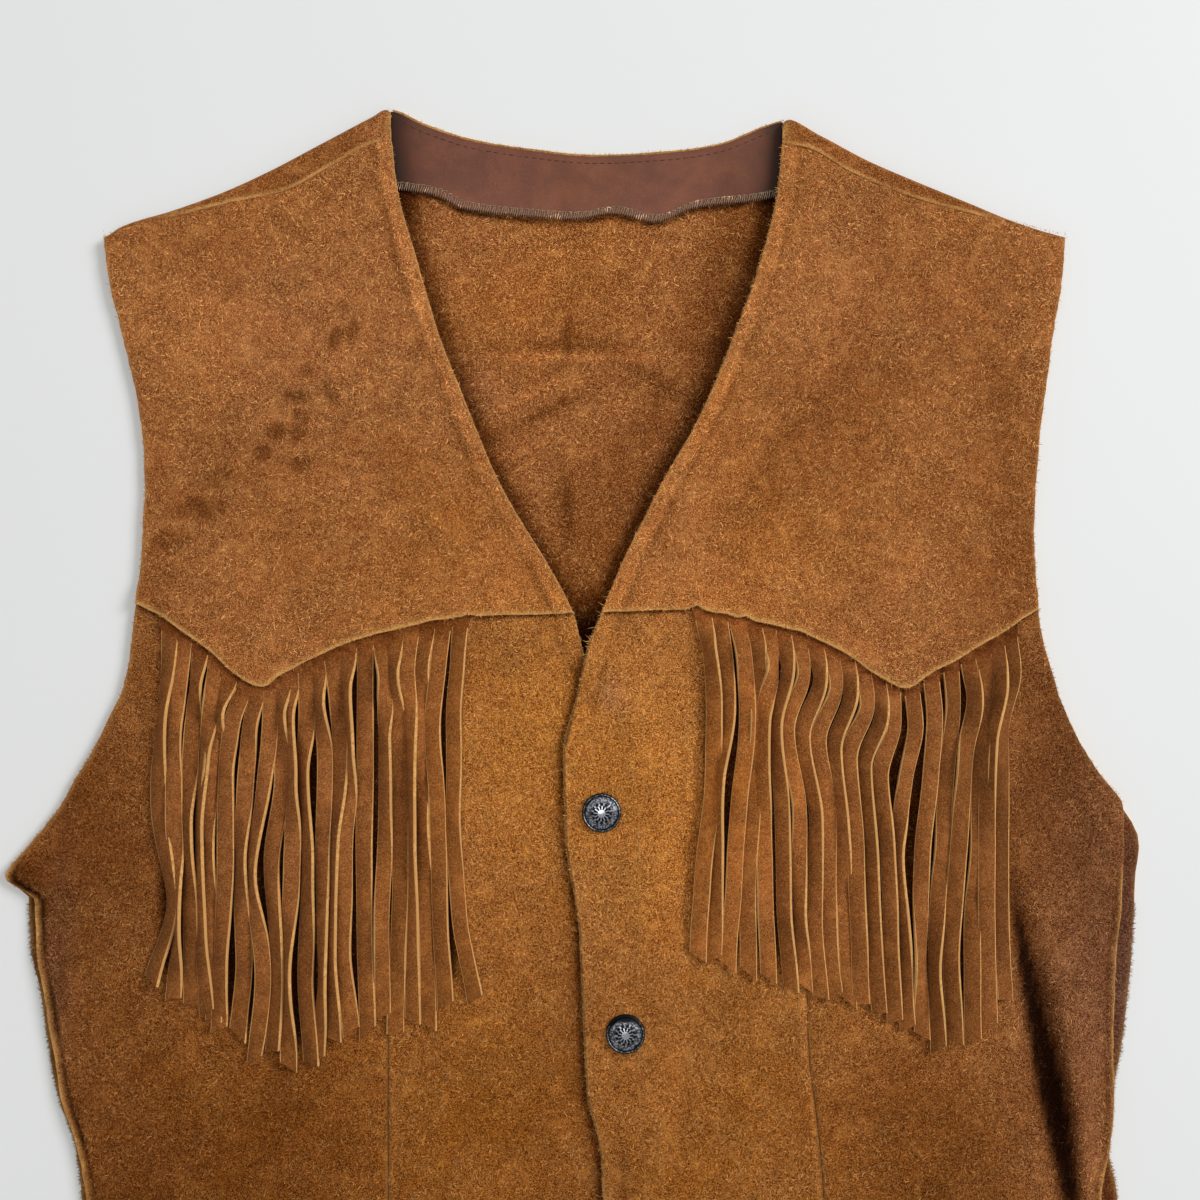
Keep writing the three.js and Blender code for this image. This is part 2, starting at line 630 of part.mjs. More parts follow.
const half = SEAM_GAP / 2;
const sideLeftInner = (y) => leftSeam(y) - half;
const centreLeftOuter = (y) => leftSeam(y) + half;
const sideRightInner = (y) => rightSeam(y) + half;
const centreRightOuter = (y) => rightSeam(y) - half;
add("front_side_left", lowerFront(frontLeft, sideLeftInner, frontUnder, 10), SIDE_SUEDE);
add("front_center_left", lowerFront(centreLeftOuter, leftEdge, frontUnder, 7), FRONT_SUEDE);
add("front_center_right", lowerFront(rightEdge, centreRightOuter, rightFrontUnder, 11), FRONT_SUEDE);
add("front_side_right", lowerFront(sideRightInner, frontRight, frontUnder, 14), SIDE_SUEDE);

for (const [name, strands, under] of [
  ["fringe_left", LEFT_STRANDS, frontUnder],
  ["fringe_right", RIGHT_STRANDS, rightFrontUnder],
]) {
  add(name, joined([rootStrip(strands, under), ...strandWalls(strands, under)]), FRINGE_SUEDE);
}

SNAPS.forEach((snap, i) => {
  const radius = CAP_DIAMETER / 2;
  const around = steps(12).map((t) => t * 2 * Math.PI);
  const heights = around.map((a) => (
    rightFrontUnder(snap.x + radius * Math.cos(a), snap.y + radius * Math.sin(a))
  ));
  const seat = Math.max(...heights) + SUEDE + CLEARANCE;
  add(`snap_cap_${i + 1}`, snapCap(), ANTIQUE_METAL).position.set(snap.x, snap.y, seat);
});

export default vest;
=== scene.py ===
"""A suede fringe vest, snapped closed and laid flat on its back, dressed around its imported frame.

The tables give millimetres in the frame's own axes: X to the right, Y from the hem to the neck and
Z up from the surface that the vest lies on. Left and right are those of someone looking down on it.
"""

import math

import bpy
import numpy as np
from bpy.props import FloatProperty, FloatVectorProperty, IntProperty, PointerProperty
from bpy.types import Operator, Panel, PropertyGroup
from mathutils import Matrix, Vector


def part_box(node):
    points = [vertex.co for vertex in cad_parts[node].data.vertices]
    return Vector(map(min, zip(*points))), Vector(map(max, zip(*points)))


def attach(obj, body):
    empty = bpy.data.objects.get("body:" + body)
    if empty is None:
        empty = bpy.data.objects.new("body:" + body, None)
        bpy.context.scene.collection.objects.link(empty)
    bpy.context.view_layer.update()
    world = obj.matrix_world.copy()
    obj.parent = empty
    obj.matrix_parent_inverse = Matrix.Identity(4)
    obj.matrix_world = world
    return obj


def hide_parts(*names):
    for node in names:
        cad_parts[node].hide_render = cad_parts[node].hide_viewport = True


bl_info = {
    "name": "Fringe Vest",
    "version": (1, 0, 0),
    "blender": (4, 5, 0),
    "location": "View3D > Sidebar > Fringe Vest",
    "description": "Builds a suede fringe vest, laid flat, around its packed frame",
    "category": "Object",
}

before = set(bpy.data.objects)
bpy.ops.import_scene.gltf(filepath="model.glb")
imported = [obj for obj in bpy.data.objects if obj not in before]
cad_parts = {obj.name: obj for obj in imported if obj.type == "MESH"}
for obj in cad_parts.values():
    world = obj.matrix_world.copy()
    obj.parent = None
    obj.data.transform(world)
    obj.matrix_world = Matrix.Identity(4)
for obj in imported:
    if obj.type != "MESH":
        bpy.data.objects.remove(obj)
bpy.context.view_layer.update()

MM = 0.001
BODY = "root"


def table(columns, rows):
    """A short table as named columns of numbers."""
    return dict(zip(columns.split(), np.array(rows, float).T))


# Side outlines of the fronts and the back below the shoulder tips
SIDES = table("y front_left back_left front_right back_right", [
    (239, -198, -197.5, 207.5, 207), (219, -195.5, -195, 206, 205.5), (198, -190.5, -190, 202.5, 202),
    (177, -185.5, -185, 200, 199.5), (156, -182, -181.5, 197, 196.5), (135, -181, -180.5, 195.5, 195),
    (114, -181.5, -181, 194.5, 194), (93, -183, -182.5, 195.5, 195), (72, -185.5, -185, 197, 196.5),
    (51, -188.5, -188, 202.5, 202), (30, -197, -196.5, 210, 209.5), (9, -209, -208.5, 222.5, 222),
    (-4, -216.5, -216, 232, 231.5), (-20, -229, -228.5, 232.5, 239.5), (-34, -239.5, -239.5, 232, 238),
    (-44, -227, -230.5, 231.5, 237.5), (-64, -226.5, -229.5, 229.5, 236.5),
    (-85, -223, -225, 228.5, 234.5), (-106, -219.5, -222, 228, 232), (-127, -216, -218, 228.5, 228),
    (-149, -209, -210.5, 226.5, 226.5), (-169, -205.5, -208, 223, 230), (-203, -203.5, -206, 223.5, 231.5),
    (-245, -205.5, -208, 226.5, 229.5), (-290, -208.5, -211.5, 227, 229),
])

# Upper edge of the back: the shoulder folds and the neck curve between them
BACK_TOP = table("x y", [
    (-198, 235.5), (-190, 240.5), (-169, 247), (-148, 254.5), (-127, 264), (-106, 275), (-85, 286),
    (-77, 290), (-64, 284.5), (-43, 277.5), (-22, 274), (9, 271), (40, 272.5), (61, 275.5), (82, 283.5),
    (89, 285.5), (104, 278.5), (124, 268), (145, 259), (166, 250.5), (187, 242), (207.5, 235.5),
])

# Where the back ends on top of the shoulder and the yokes begin
SHOULDER_SEAM = table("x y", [
    (-198, 235.5), (-190, 239), (-165, 245), (-146, 249.5), (-122, 254.5), (-101, 265.5), (-85, 274),
    (-77, 275.5), (88, 274), (97, 273), (117, 262.5), (143, 252), (169, 245), (190, 240), (207.5, 235.5),
])

# Front edges from the neck point down the V and on to the hem, with how high the edge rolls up
FRONT_EDGES = table("y left right roll", [
    (277.5, -76.5, 88, 0), (257, -74, 86, 2.2), (224, -65, 78, 4.2), (192, -55.5, 66.5, 4.8),
    (173, -48, 59, 4.8), (153, -40, 49.5, 4.4), (133, -31.5, 38, 3.6), (115, -21.5, 29, 2.8),
    (99, -11.5, 21, 1.8), (77, 0, 12, 0.8), (64, 3.5, 6.5, 0.4), (58, 5, 5, 0.3), (42, 15.5, 1.5, 0),
    (19, 24, -4, 0), (-18, 28, -3, 0), (-54, 28, 2.5, 0), (-85, 28, 4, 0), (-125, 28, 6, 0),
    (-149, 30, 11.5, 0), (-211, 32, 14, 0), (-290, 34, 16.5, 0),
])

# Lower edge of the yokes, which dips to a point on each side
YOKE_SEAM = table("x y", [
    (-185, 81.5), (-172, 75), (-162, 68), (-151, 60), (-140, 50.5), (-131.5, 46.5), (-121, 52),
    (-107, 59), (-93, 65), (-79, 69), (-44, 75.5), (0, 77), (50, 78.5), (66, 75.5), (90, 70.5),
    (111, 62), (130, 49.5), (139, 45.5), (151, 52.5), (164, 59.5), (177, 67), (196, 79),
])

# Seams between the centre fronts and the side fronts
FRONT_SEAMS = table("y left right", [
    (90, -79, 97), (-80, -78, 98.5), (-110, -78, 99.5), (-135, -78, 102.5), (-170, -78, 105.5),
    (-290, -78, 108),
])

# Lower edge of the back neck facing
FACING_EDGE = table("x y", [
    (-82, 257), (-59, 254), (-46, 248), (-22, 245), (1, 243.5), (17, 246), (34, 242.5), (52, 248.5),
    (77, 251.5), (94, 255),
])

# Folds: the middle, the turn from the Y axis in degrees, half length, half width, height or depth
FOLDS = table("x y turn length width height", [
    (212, -118, 5, 62, 10, 5), (197, -94, 10, 55, 6, -1.2), (216, -228, -4, 50, 9, 2.6),
    (-200, -8, -52, 36, 12, 1.4), (-203, -96, -8, 46, 10, 1.5), (-120, 150, 12, 70, 34, 0.8),
    (140, 160, -14, 70, 34, 0.9), (-30, -170, 6, 60, 24, 0.6), (70, -190, -5, 60, 22, 0.7),
])

# Finer creases of the fronts, under the same headings
CREASES = table("x y turn length width height", [
    (-160, 200, 30, 40, 8, 0.6), (-110, 230, -40, 34, 7, -0.5), (-150, 120, 20, 46, 9, 0.6),
    (-95, 110, -25, 40, 8, -0.5), (-60, 130, 28, 50, 9, 0.6), (-40, 95, 40, 30, 7, 0.5),
    (150, 210, -34, 42, 8, 0.7), (180, 150, 10, 40, 8, -0.5), (74, 132, -39, 34, 6, -0.9),
    (86, 122, -39, 34, 7, 0.8), (112, 112, -48, 26, 6, -0.6), (40, 95, -42, 30, 7, -0.4),
    (120, 95, 70, 30, 7, 0.4), (128, 150, -30, 40, 9, 0.7), (-214.5, -38, -5, 34, 1.8, -0.5),
    (-185, -60, -20, 40, 8, 0.7), (-190, -150, 6, 60, 9, 0.6), (-150, -190, -12, 50, 9, 0.5),
    (-110, -140, 18, 46, 8, 0.4), (-40, -40, 8, 50, 10, 0.4), (-20, -110, -14, 44, 9, 0.4),
    (60, -40, -6, 52, 10, 0.35), (70, -120, 16, 44, 9, 0.4), (135, -170, -8, 60, 10, 0.6),
    (165, -140, 12, 44, 9, 0.5), (175, -230, -4, 50, 9, 0.6), (100, -250, 20, 40, 9, 0.4),
    (208, -114, 10, 62, 4, 2.4), (198, -112, 10, 62, 4, -2.0), (187, -104, 10, 60, 5, 0.9),
    (-60, -240, -16, 46, 9, 0.4), (-180, -250, 8, 50, 9, 0.5),
])

# Creases of the back, seen in the V: a long faint one across, and slanting ones below it
BACK_CREASES = table("x y turn length width height", [
    (5, 184, 88, 46, 3, 0.8), (5, 190, 88, 46, 3, -0.5), (-20, 168, -63, 26, 3.5, 0.9),
    (-14, 160, -63, 26, 3.5, -0.6), (20, 150, -40, 24, 5, 0.6), (-2, 128, 6, 26, 4, 0.8),
    (10, 110, -16, 20, 5, 0.6), (-30, 205, 30, 22, 6, 0.5), (40, 210, -30, 24, 6, 0.5),
    (0, 194, 4, 14, 3.5, -0.5),
])

# Strands: the middle at the root, at a kink below it, at three levels further down and at the tip,
# where the tip is, how far the strand rolls on its edge at those places in degrees, and how high it
# lies over its neighbours
STRAND_COLUMNS = (
    "root kink high middle low tip end roll_kink roll_high roll_middle roll_low roll_tip over"
)
LEFT_STRANDS = table(STRAND_COLUMNS, [
    (-169.5, -169.5, -172, -173.5, -167.5, -176.5, -77, 30, 56, 10, 40, 30, 0.2),
    (-163, -165, -167, -167, -164.5, -167.5, -84.5, -20, 16, -14, 62, 8, 1.3),
    (-156, -158, -159.5, -161, -160, -160, -87, 34, -22, 48, 14, -10, 0.3),
    (-149.5, -151.5, -153.5, -156, -155, -153.5, -90.5, -46, 50, 60, 40, 10, 1.1),
    (-143, -147.5, -151, -153.5, -151.5, -150.5, -94, 48, -52, 24, -20, 14, 0.2),
    (-136, -142.5, -145, -145.5, -147, -148.5, -97.5, -14, 18, -12, 30, -10, 1.5),
    (-131, -135, -137, -139, -138, -140.5, -100, 16, -20, 52, -14, 12, 0.3),
    (-126.5, -127, -129, -134, -129.5, -133.5, -110, -18, 22, 56, -20, 8, 1.2),
    (-120.5, -122, -121.5, -126, -123.5, -126, -106.5, 62, -26, 12, 44, 20, 0.3),
    (-116.5, -118.5, -116.5, -117.5, -119, -119, -113, 50, 64, -20, 66, -14, 1.6),
    (-112, -111.5, -112.5, -111, -112, -109.5, -111.5, -16, 44, 48, 10, 10, 0.2),
    (-107, -105.5, -103.5, -104.5, -104.5, -107, -110, 54, -20, 18, 62, 12, 1.2),
    (-101.5, -99, -97, -99.5, -101, -100.5, -101.5, -22, 24, 60, 52, 10, 0.4),
    (-94.5, -94, -92.5, -95, -96, -93, -98.5, 60, 70, -30, 20, -14, 1.4),
    (-87.5, -87, -87, -87.5, -87, -86, -99, 14, -10, 12, 16, 12, 0.2),
    (-81.5, -79, -78.5, -78.5, -80, -79.5, -92, -52, 50, 30, -38, 12, 1.2),
    (-74.5, -75.5, -72.5, -72, -73, -74.5, -99, 48, -12, 14, 18, -12, 0.3),
    (-67, -69.5, -67, -67, -67, -67, -94, -20, 56, 66, 40, 12, 1.3),
    (-60.5, -63, -63.5, -63, -61.5, -60.5, -96, 22, -52, 38, -32, 8, 0.3),
    (-54, -56.5, -58.5, -56.5, -55.5, -53.5, -87.5, -14, 16, -12, 14, 12, 1.2),
    (-47, -48.5, -50, -50, -47.5, -41, -85, 18, 10, 14, -12, 10, 0.2),
])
RIGHT_STRANDS = table(STRAND_COLUMNS, [
    (54, 57, 59, 58.5, 54, 52.5, -67, 52, 30, 10, 14, 8, 1.0),
    (61, 63.5, 65, 61, 60, 59, -68, 10, 40, 62, 44, 12, 0.2),
    (68.5, 71.5, 73, 70, 67, 65, -71, -16, 18, 12, -14, 8, 1.3),
    (75, 78, 77.5, 75.5, 73.5, 73.5, -74, 50, -34, 16, 14, 8, 0.3),
    (81, 83.5, 80, 79.5, 80.5, 82, -76, -52, 60, 22, -18, 12, 1.2),
    (87.5, 90, 85, 87.5, 88.5, 91.5, -80, 58, 66, 34, 40, 30, 0.4),
    (94, 96.5, 89.5, 94.5, 95, 97.5, -80, -30, 18, -20, 52, -12, 1.5),
    (101, 103.5, 96, 101.5, 101, 104, -84, 54, 26, 48, 14, 10, 0.3),
    (107.5, 110, 103, 107, 107, 110, -84, -28, 18, -16, 22, 8, 1.2),
    (114, 116.5, 109, 112.5, 114, 115.5, -86, 52, 40, 50, -18, 10, 0.4),
    (121, 123, 115.5, 118, 119.5, 121, -87, -30, 22, 14, 26, 8, 1.5),
    (127.5, 129.5, 122, 124.5, 126, 128.5, -90, 50, 36, 56, 30, 12, 0.3),
    (134, 134.5, 128.5, 131.5, 133, 135, -94, -24, 20, 44, 36, 16, 1.3),
    (142, 143.5, 139, 136, 139, 140.5, -97, 14, -12, 68, 58, 18, 0.3),
    (150, 151.5, 150, 146, 145, 146.5, -100, 10, 14, 22, -44, 20, 1.4),
    (158.5, 159.5, 157, 154.5, 151.5, 153, -106, -14, 16, -18, 62, 16, 0.2),
    (165.5, 168, 164, 161.5, 158, 160, -102, 46, -24, 20, 34, 20, 1.3),
    (171.5, 173.5, 171, 169.5, 167, 167.5, -103, -20, 46, -14, 16, 12, 0.4),
    (177.5, 179, 174, 173, 173, 174.5, -97, 56, 62, 18, 12, 10, 1.3),
    (183, 184.5, 180, 179.5, 179, 181, -85, 24, -38, 16, 20, -14, 0.3),
])

# Bumps of the yokes' lips where the cut wandered
LIP_BUMPS = table("x width height", [
    (52, 2.6, 1.7), (64, 3.4, 0.9), (72.5, 2.2, 1.5), (-43.5, 2.4, 1.1), (-60, 4, 0.5), (-128, 2.4, -0.8),
    (96, 4, 0.5), (160, 5, -0.6),
])

# Caps of the snaps, down the right front's edge: the turn in degrees and the tilt in radians
SNAPS = table("x y turn tilt", [(12, -6.5, 0, 0), (22, -99, 11, 0.02), (29, -191.5, -7, -0.012)])

# Patches of colour: the middle, half width, half height, turn in degrees, how light, how orange
# The darker patches near the sides are partly the hide's colour and partly painted shade where the light
# falls off towards them
FRONT_PATCHES = table("x y wide high turn light orange", [
    (-120, 190, 50, 44, 20, 0.12, -0.05), (-150, 225, 50, 14, -20, -0.1, 0),
    (-140, 140, 30, 26, 30, -0.14, 0), (-165, 185, 16, 30, 0, 0.1, 0),
    (-60, 120, 16, 46, 30, 0.12, 0.12), (-110, 90, 36, 20, 20, -0.1, 0.05),
    (110, 200, 46, 34, -30, 0.08, -0.08), (165, 200, 26, 40, 10, -0.1, 0), (60, 170, 16, 60, -26, 0.12, 0.1),
    (90, 110, 34, 26, -30, 0.06, 0.12), (185, 120, 20, 60, 0, -0.2, 0), (-178, 130, 14, 70, 0, -0.16, 0),
    (45, 10, 50, 75, 0, 0.34, 0.36), (-30, 20, 46, 70, 0, 0.20, 0.36), (60, -150, 60, 80, 0, -0.12, 0.34),
    (-40, -150, 45, 90, 0, -0.12, 0.34), (-205, -10, 34, 70, 0, -0.48, 0.0),
    (-135, -160, 62, 80, 0, -0.50, 0.30), (-205, -180, 36, 110, 0, -0.34, 0.0),
    (195, 20, 34, 60, 0, -0.34, 0), (150, -170, 45, 80, 0, -0.44, 0.12), (222, -60, 30, 110, 0, -0.32, -0.75),
    # Painted shadow in the valley of the fold down the right side
    (199, -112, 5, 74, 10.8, -0.7, -0.3), (204, -140, 5, 50, 10.8, -0.7, -0.2),
    (30, -270, 120, 50, 0, -0.14, 0.1), (-221, -80, 8, 60, -6, -0.1, -0.45),
    # Painted shadow at the top of that valley; then painted shade along a crease of the right yoke
    (191, -72, 2.6, 32, 9, -0.55, -0.3), (74.8, 132, 30, 3.2, 53, -0.17, 0),
    # Painted highlight and shade along creases of the right yoke
    (68.8, 137, 30, 4, 53, 0.1, 0.05), (82.3, 122.6, 13, 2.6, 31, -0.13, 0),
    (110, 170, 60, 70, 0, -0.2, 0), (-237, -39, 13, 12, 0, -0.6, -0.1),
    (-221, -120, 7, 70, -5, -0.06, -0.4), (-83, 279, 5, 7, 0, 0.3, -0.1), (-60, 120, 16, 46, 30, -0.14, 0),
    (15, 30, 14, 30, 0, -0.10, 0), (16, 43, 6, 8, 0, 0.1, -0.5), (60, 60, 16, 10, 0, -0.2, 0),
    (-30, 62, 40, 10, 0, -0.12, 0), (20, -20, 8, 30, 0, -0.12, 0), (66, -60, 12, 40, 0, -0.1, 0),
    (-60, -70, 12, 50, 0, -0.12, 0), (-10, -120, 20, 40, 0, -0.1, 0),
])

# Marks with a clearer edge, on the left yoke: the middle, half width, half height, turn, how light
STAINS = table("x y wide high turn light", [
    (-100, 192, 3.1, 5.9, -28, -0.40), (-92, 195.5, 3.0, 4.6, -10, -0.32), (-102, 169.5, 2.9, 7.4, 40, -0.42),
    (-116, 168, 5.9, 2.8, -12, -0.36), (-111.5, 179, 3.4, 2.5, 0, -0.26), (-125, 153, 5.2, 4.0, 0, -0.38),
    (-116, 152.5, 4.0, 4.2, 0, -0.30), (-130, 144.5, 5.8, 3.5, 25, -0.32),
    (-114, 159.5, 4.6, 3.3, -20, -0.28), (-114, 139, 5.8, 4.6, 0, -0.32),
    (-157, 121, 13, 5.5, 10, -0.28), (-150, 134, 8.6, 4.4, 20, -0.24),
    (-97, 206, 2.9, 3.3, 0, -0.22), (-168, 108, 8.6, 5.4, 0, -0.24), (-122, 213, 3.4, 3.0, 0, -0.18),
    (-113, 215, 3.4, 2.6, 0, -0.16),
])

# Patches of colour of the back, under the same headings as the fronts'
BACK_PATCHES = table("x y wide high turn light orange", [
    # The darker patches at x 34 and x 64, along the right V edge, are painted shadow on the back
    (0, 222, 46, 24, 0, 0.14, 0.1), (-30, 200, 20, 20, 20, 0.08, 0.1), (34, 160, 14, 50, -24, -0.30, 0.0),
    (5, 100, 24, 40, 0, -0.17, 0.1), (64, 225, 12, 40, -14, -0.35, 0), (234, -80, 12, 90, 0, 0.6, -1.7),
    # The thin patches here and on the next two lines paint the highlights and shades of the back's creases
    (0, 185, 46, 1.8, 0, 0.36, 0), (-4, 190, 40, 2.6, 0, -0.3, 0), (-20, 169, 20, 2.2, 27, 0.34, 0),
    (-14, 161, 22, 3, 27, -0.44, 0), (-2, 196, 3, 12, 0, -0.4, 0), (-2, 122, 3, 16, 0, -0.45, 0),
    (30, 196, 26, 2.4, -34, 0.14, 0), (30, 178, 30, 3, -34, -0.3, 0), (0, 80, 40, 40, 0, 0.03, 0),
    (-228, -150, 14, 130, 0, -0.5, -0.1), (-40, 172, 10, 12, 0, 0.06, -0.2),
])

# Sizes and places, in millimetres
FACING_THICKNESS = 0.9
CLEARANCE = 0.35
BODY_RISE = 1.5
BODY_RISE_WIDTH = 60
LAP_LIFT = 2.1
NECK_ROLL_WIDTH = 38
ROLL_RADIUS_TIP = 1.2
ROLL_RADIUS_NECK = 2.2
LIP_TUCK = 3
LIP_PLAIN = 1.75
LIP_OVER_FRINGE = 3.0
LIP_FADE = 12
HEM_Y = -290
NECK_LEFT_X = -76.5
NECK_RIGHT_X = 88
SHOULDER_TIP_Y = 239
NECK_SEAM_Y = 275.5
YOKE_INNER_Y = 77
YOKE_OUTER_Y = 81.5
ARMHOLE_LEVEL_Y = 114
TURNING = 8
NECK_CORNER = 4.5
V_MIDDLE_X = 5
FLOOR_DROP = 0.2
RAW_TOP_Y = -26
SHOULDER_LEFT_X = -198
SHOULDER_RIGHT_X = 207.5

# The levels of a strand, as shares of its length, that its row of the table gives
STRAND_LEVELS = {"root": 0, "kink": 0.12, "high": 0.28, "middle": 0.5, "low": 0.78, "tip": 1}

# Random numbers that each ripple repeats, along X and Y
LATTICE = (97, 89)

# The camera of the photograph: straight down, at arm's length, a little above the vest's middle
CAMERA_AIM = (0.01134, 0.08253, 0.0055)
CAMERA_HEIGHT = 0.532
CAMERA_LENS = 38
CAMERA_SENSOR = 36


def srgb(red, green, blue):
    """A colour read on the usual 0 to 255 scale, as the linear one that materials use."""
    def linear(value):
        value = value / 255
        return value / 12.92 if value <= 0.04045 else ((value + 0.055) / 1.055) ** 2.4
    return (linear(red), linear(green), linear(blue))


def length(label, words, default, low, high):
    """A length property, from millimetres."""
    return FloatProperty(
        name=label, description=words, default=default * MM, min=low * MM, max=high * MM, unit="LENGTH",
        precision=5,
    )


class VestSizes(PropertyGroup):
    """Sizes that a user would change."""

    suede: length("Suede", "Thickness of the suede", 1.4, 0.8, 2.5)
    spacing: length("Mesh spacing", "Distance between the points of a panel", 2.3, 1.5, 10)
    strand_width: length("Strand width", "Width of a strand of fringe", 6.9, 3, 9)
    strand_thickness: length("Strand thickness", "Thickness of a strand of fringe", 1.5, 0.6, 2)
    ragged: length("Ragged edges", "How far the cut edges wander", 0.45, 0, 2)
    nap_length: length("Nap length", "Length of a long fibre of the nap", 2.0, 0.3, 5)
    nap_count: IntProperty(
        name="Nap fibres", description="Loose fibres on each square centimetre", default=46, min=0, max=60,
    )
    cap_diameter: length("Snap cap", "Diameter of a snap's cap", 16.4, 8, 25)


def colour(label, words, red, green, blue):
    """A colour property with its default read."""
    return FloatVectorProperty(
        name=label, description=words, default=srgb(red, green, blue), size=3, min=0, max=1, subtype="COLOR",
    )


class VestColours(PropertyGroup):
    """Colours that a user would change."""

    suede: colour("Suede", "The nap of the fronts in middling light", 152, 82, 39)
    suede_deep: colour("Suede, deep", "The nap where it is brushed dark", 94, 40, 12)
    suede_pale: colour("Suede, pale", "The tips of the fibres", 230, 162, 94)
    back: colour("Back", "The suede of the back, seen inside the neck", 129, 61, 25)
    cut_edge: colour("Cut edge", "Raw cut edges and worn ridges", 224, 168, 98)
    facing: colour("Facing", "The smooth side of the hide, at the back neck", 128, 77, 56)
    thread: colour("Thread", "Overlock thread", 166, 138, 108)
    metal: colour("Metal", "Antique nickel of the snaps", 206, 210, 220)
    floor: colour("Floor", "The surface under the vest", 236, 238, 238)


def measure(key):
    """One of the user's sizes, in millimetres."""
    return getattr(bpy.context.scene.vest_sizes, key) / MM


def read(rows, key, column, at):
    """Reads a column of a table, straight from row to row."""
    order = np.argsort(rows[key])
    return np.interp(at, rows[key][order], rows[column][order])


def smooth_read(rows, key, column, at):
    """Reads a column of a table as a smooth line through its rows, which doesn't overshoot them."""
    order = np.argsort(rows[key])
    x, y = rows[key][order], rows[column][order]
    span, slope = np.diff(x), np.diff(y) / np.diff(x)
    rate = np.zeros_like(y)
    rate[0], rate[-1] = slope[0], slope[-1]
    same = slope[:-1] * slope[1:] > 0
    before, after = 2 * span[1:] + span[:-1], span[1:] + 2 * span[:-1]
    steepness = before[same] / slope[:-1][same] + after[same] / slope[1:][same]
    rate[1:-1][same] = (before + after)[same] / steepness
    at = np.clip(at, x[0], x[-1])
    i = np.clip(np.searchsorted(x, at, side="right") - 1, 0, len(x) - 2)
    t = (at - x[i]) / span[i]
    return (
        (2 * t**3 - 3 * t**2 + 1) * y[i] + (t**3 - 2 * t**2 + t) * span[i] * rate[i]
        + (3 * t**2 - 2 * t**3) * y[i + 1] + (t**3 - t**2) * span[i] * rate[i + 1]
    )


def smooth(t):
    """Eases from 0 to 1."""
    t = np.clip(t, 0, 1)
    return t * t * (3 - 2 * t)


def mix(a, b, t):
    """What lies between two values."""
    return a + (b - a) * t


def ripple(x, y, size, seed):
    """Soft unevenness from -1 to 1, with lumps of about the given size in millimetres."""
    lattice = np.random.default_rng(seed).uniform(-1, 1, LATTICE)
    gx, gy = np.asarray(x) / size + 400, np.asarray(y) / size + 400
    ix, iy = np.floor(gx).astype(int), np.floor(gy).astype(int)
    tx, ty = smooth(gx - ix), smooth(gy - iy)

    def corner(dx, dy):
        return lattice[(ix + dx) % LATTICE[0], (iy + dy) % LATTICE[1]]

    low = mix(corner(0, 0), corner(1, 0), tx)
    high = mix(corner(0, 1), corner(1, 1), tx)
    return mix(low, high, ty)


def turned(dx, dy, turn, wide, high):
    """Turns distances by degrees and gives them as shares of two half sizes."""
    c, s = math.cos(math.radians(turn)), math.sin(math.radians(turn))
    return (dx * c + dy * s) / wide, (dy * c - dx * s) / high


def fold_sum(folds, x, y):
    """Adds up soft ridges and troughs at places on the cloth."""
    total = np.zeros(np.broadcast(x, y).shape)
    for fx, fy, turn, reach, width, height in zip(*folds.values()):
        across, along = turned(x - fx, y - fy, turn, width, reach)
        total = total + height * np.exp(-along**2 - across**2)
    return total


def roll_radius(x):
    """Radius of the shoulder fold, tight at the tip and round at the neck."""
    from_neck = np.where(x < 0, NECK_LEFT_X - x, x - NECK_RIGHT_X)
    shoulder = np.where(x < 0, NECK_LEFT_X - SHOULDER_LEFT_X, SHOULDER_RIGHT_X - NECK_RIGHT_X)
    return mix(ROLL_RADIUS_NECK, ROLL_RADIUS_TIP, np.clip(from_neck / shoulder, 0, 1))


def front_edges(y):
    """The left and right fronts' edges, straight from row to row."""
    return read(FRONT_EDGES, "y", "left", y), read(FRONT_EDGES, "y", "right", y)


def edge_inward(x, y):
    """How far a place on the fronts lies inside the nearer front edge."""
    left, right = front_edges(y)
    return np.maximum(0, np.where(x < (left + right) / 2, left - x, x - right))


def groove(distance, width):
    """1 on a line and 0 away from it."""
    return np.exp(-((distance / width) ** 2))


def front_under(x, y):
    """Height of the underside of the fronts' cloth, in millimetres, as the frame has it, with creases."""
    rest = measure("suede") + CLEARANCE
    side = np.minimum(x - read(SIDES, "y", "front_left", y), read(SIDES, "y", "front_right", y) - x)
    z = rest + BODY_RISE * smooth(side / BODY_RISE_WIDTH)
    z = z + fold_sum(FOLDS, x, y) * smooth(side / 14)
    z = z + fold_sum(CREASES, x, y) * smooth(side / 20)
    z = z + (0.22 * ripple(x, y, 26, 3) + 0.1 * ripple(x, y, 9, 4)) * smooth(side / 10)
    z = z + read(FRONT_EDGES, "y", "roll", y) * groove(edge_inward(x, y), NECK_ROLL_WIDTH)
    to_seam = read(SHOULDER_SEAM, "x", "y", x) - y
    z = mix(2 * roll_radius(x), z, smooth(to_seam / 45))
    return np.maximum(z, rest)


def lap_under(x, y):
    """The right front lies over the left front where they lap."""
    lap_end = read(FRONT_EDGES, "y", "left", y) + 5
    return front_under(x, y) + LAP_LIFT * (1 - smooth((x - lap_end) / 16)) * smooth((96 - y) / 28)


def fringed(x):
    """1 where the yoke's lip lies over fringe, 0 where it lies over the front alone."""
    left = smooth((x + 176) / 5) * smooth((-40 - x) / 5)
    right = smooth((x - 47) / 5) * smooth((190 - x) / 5)
    return left + right


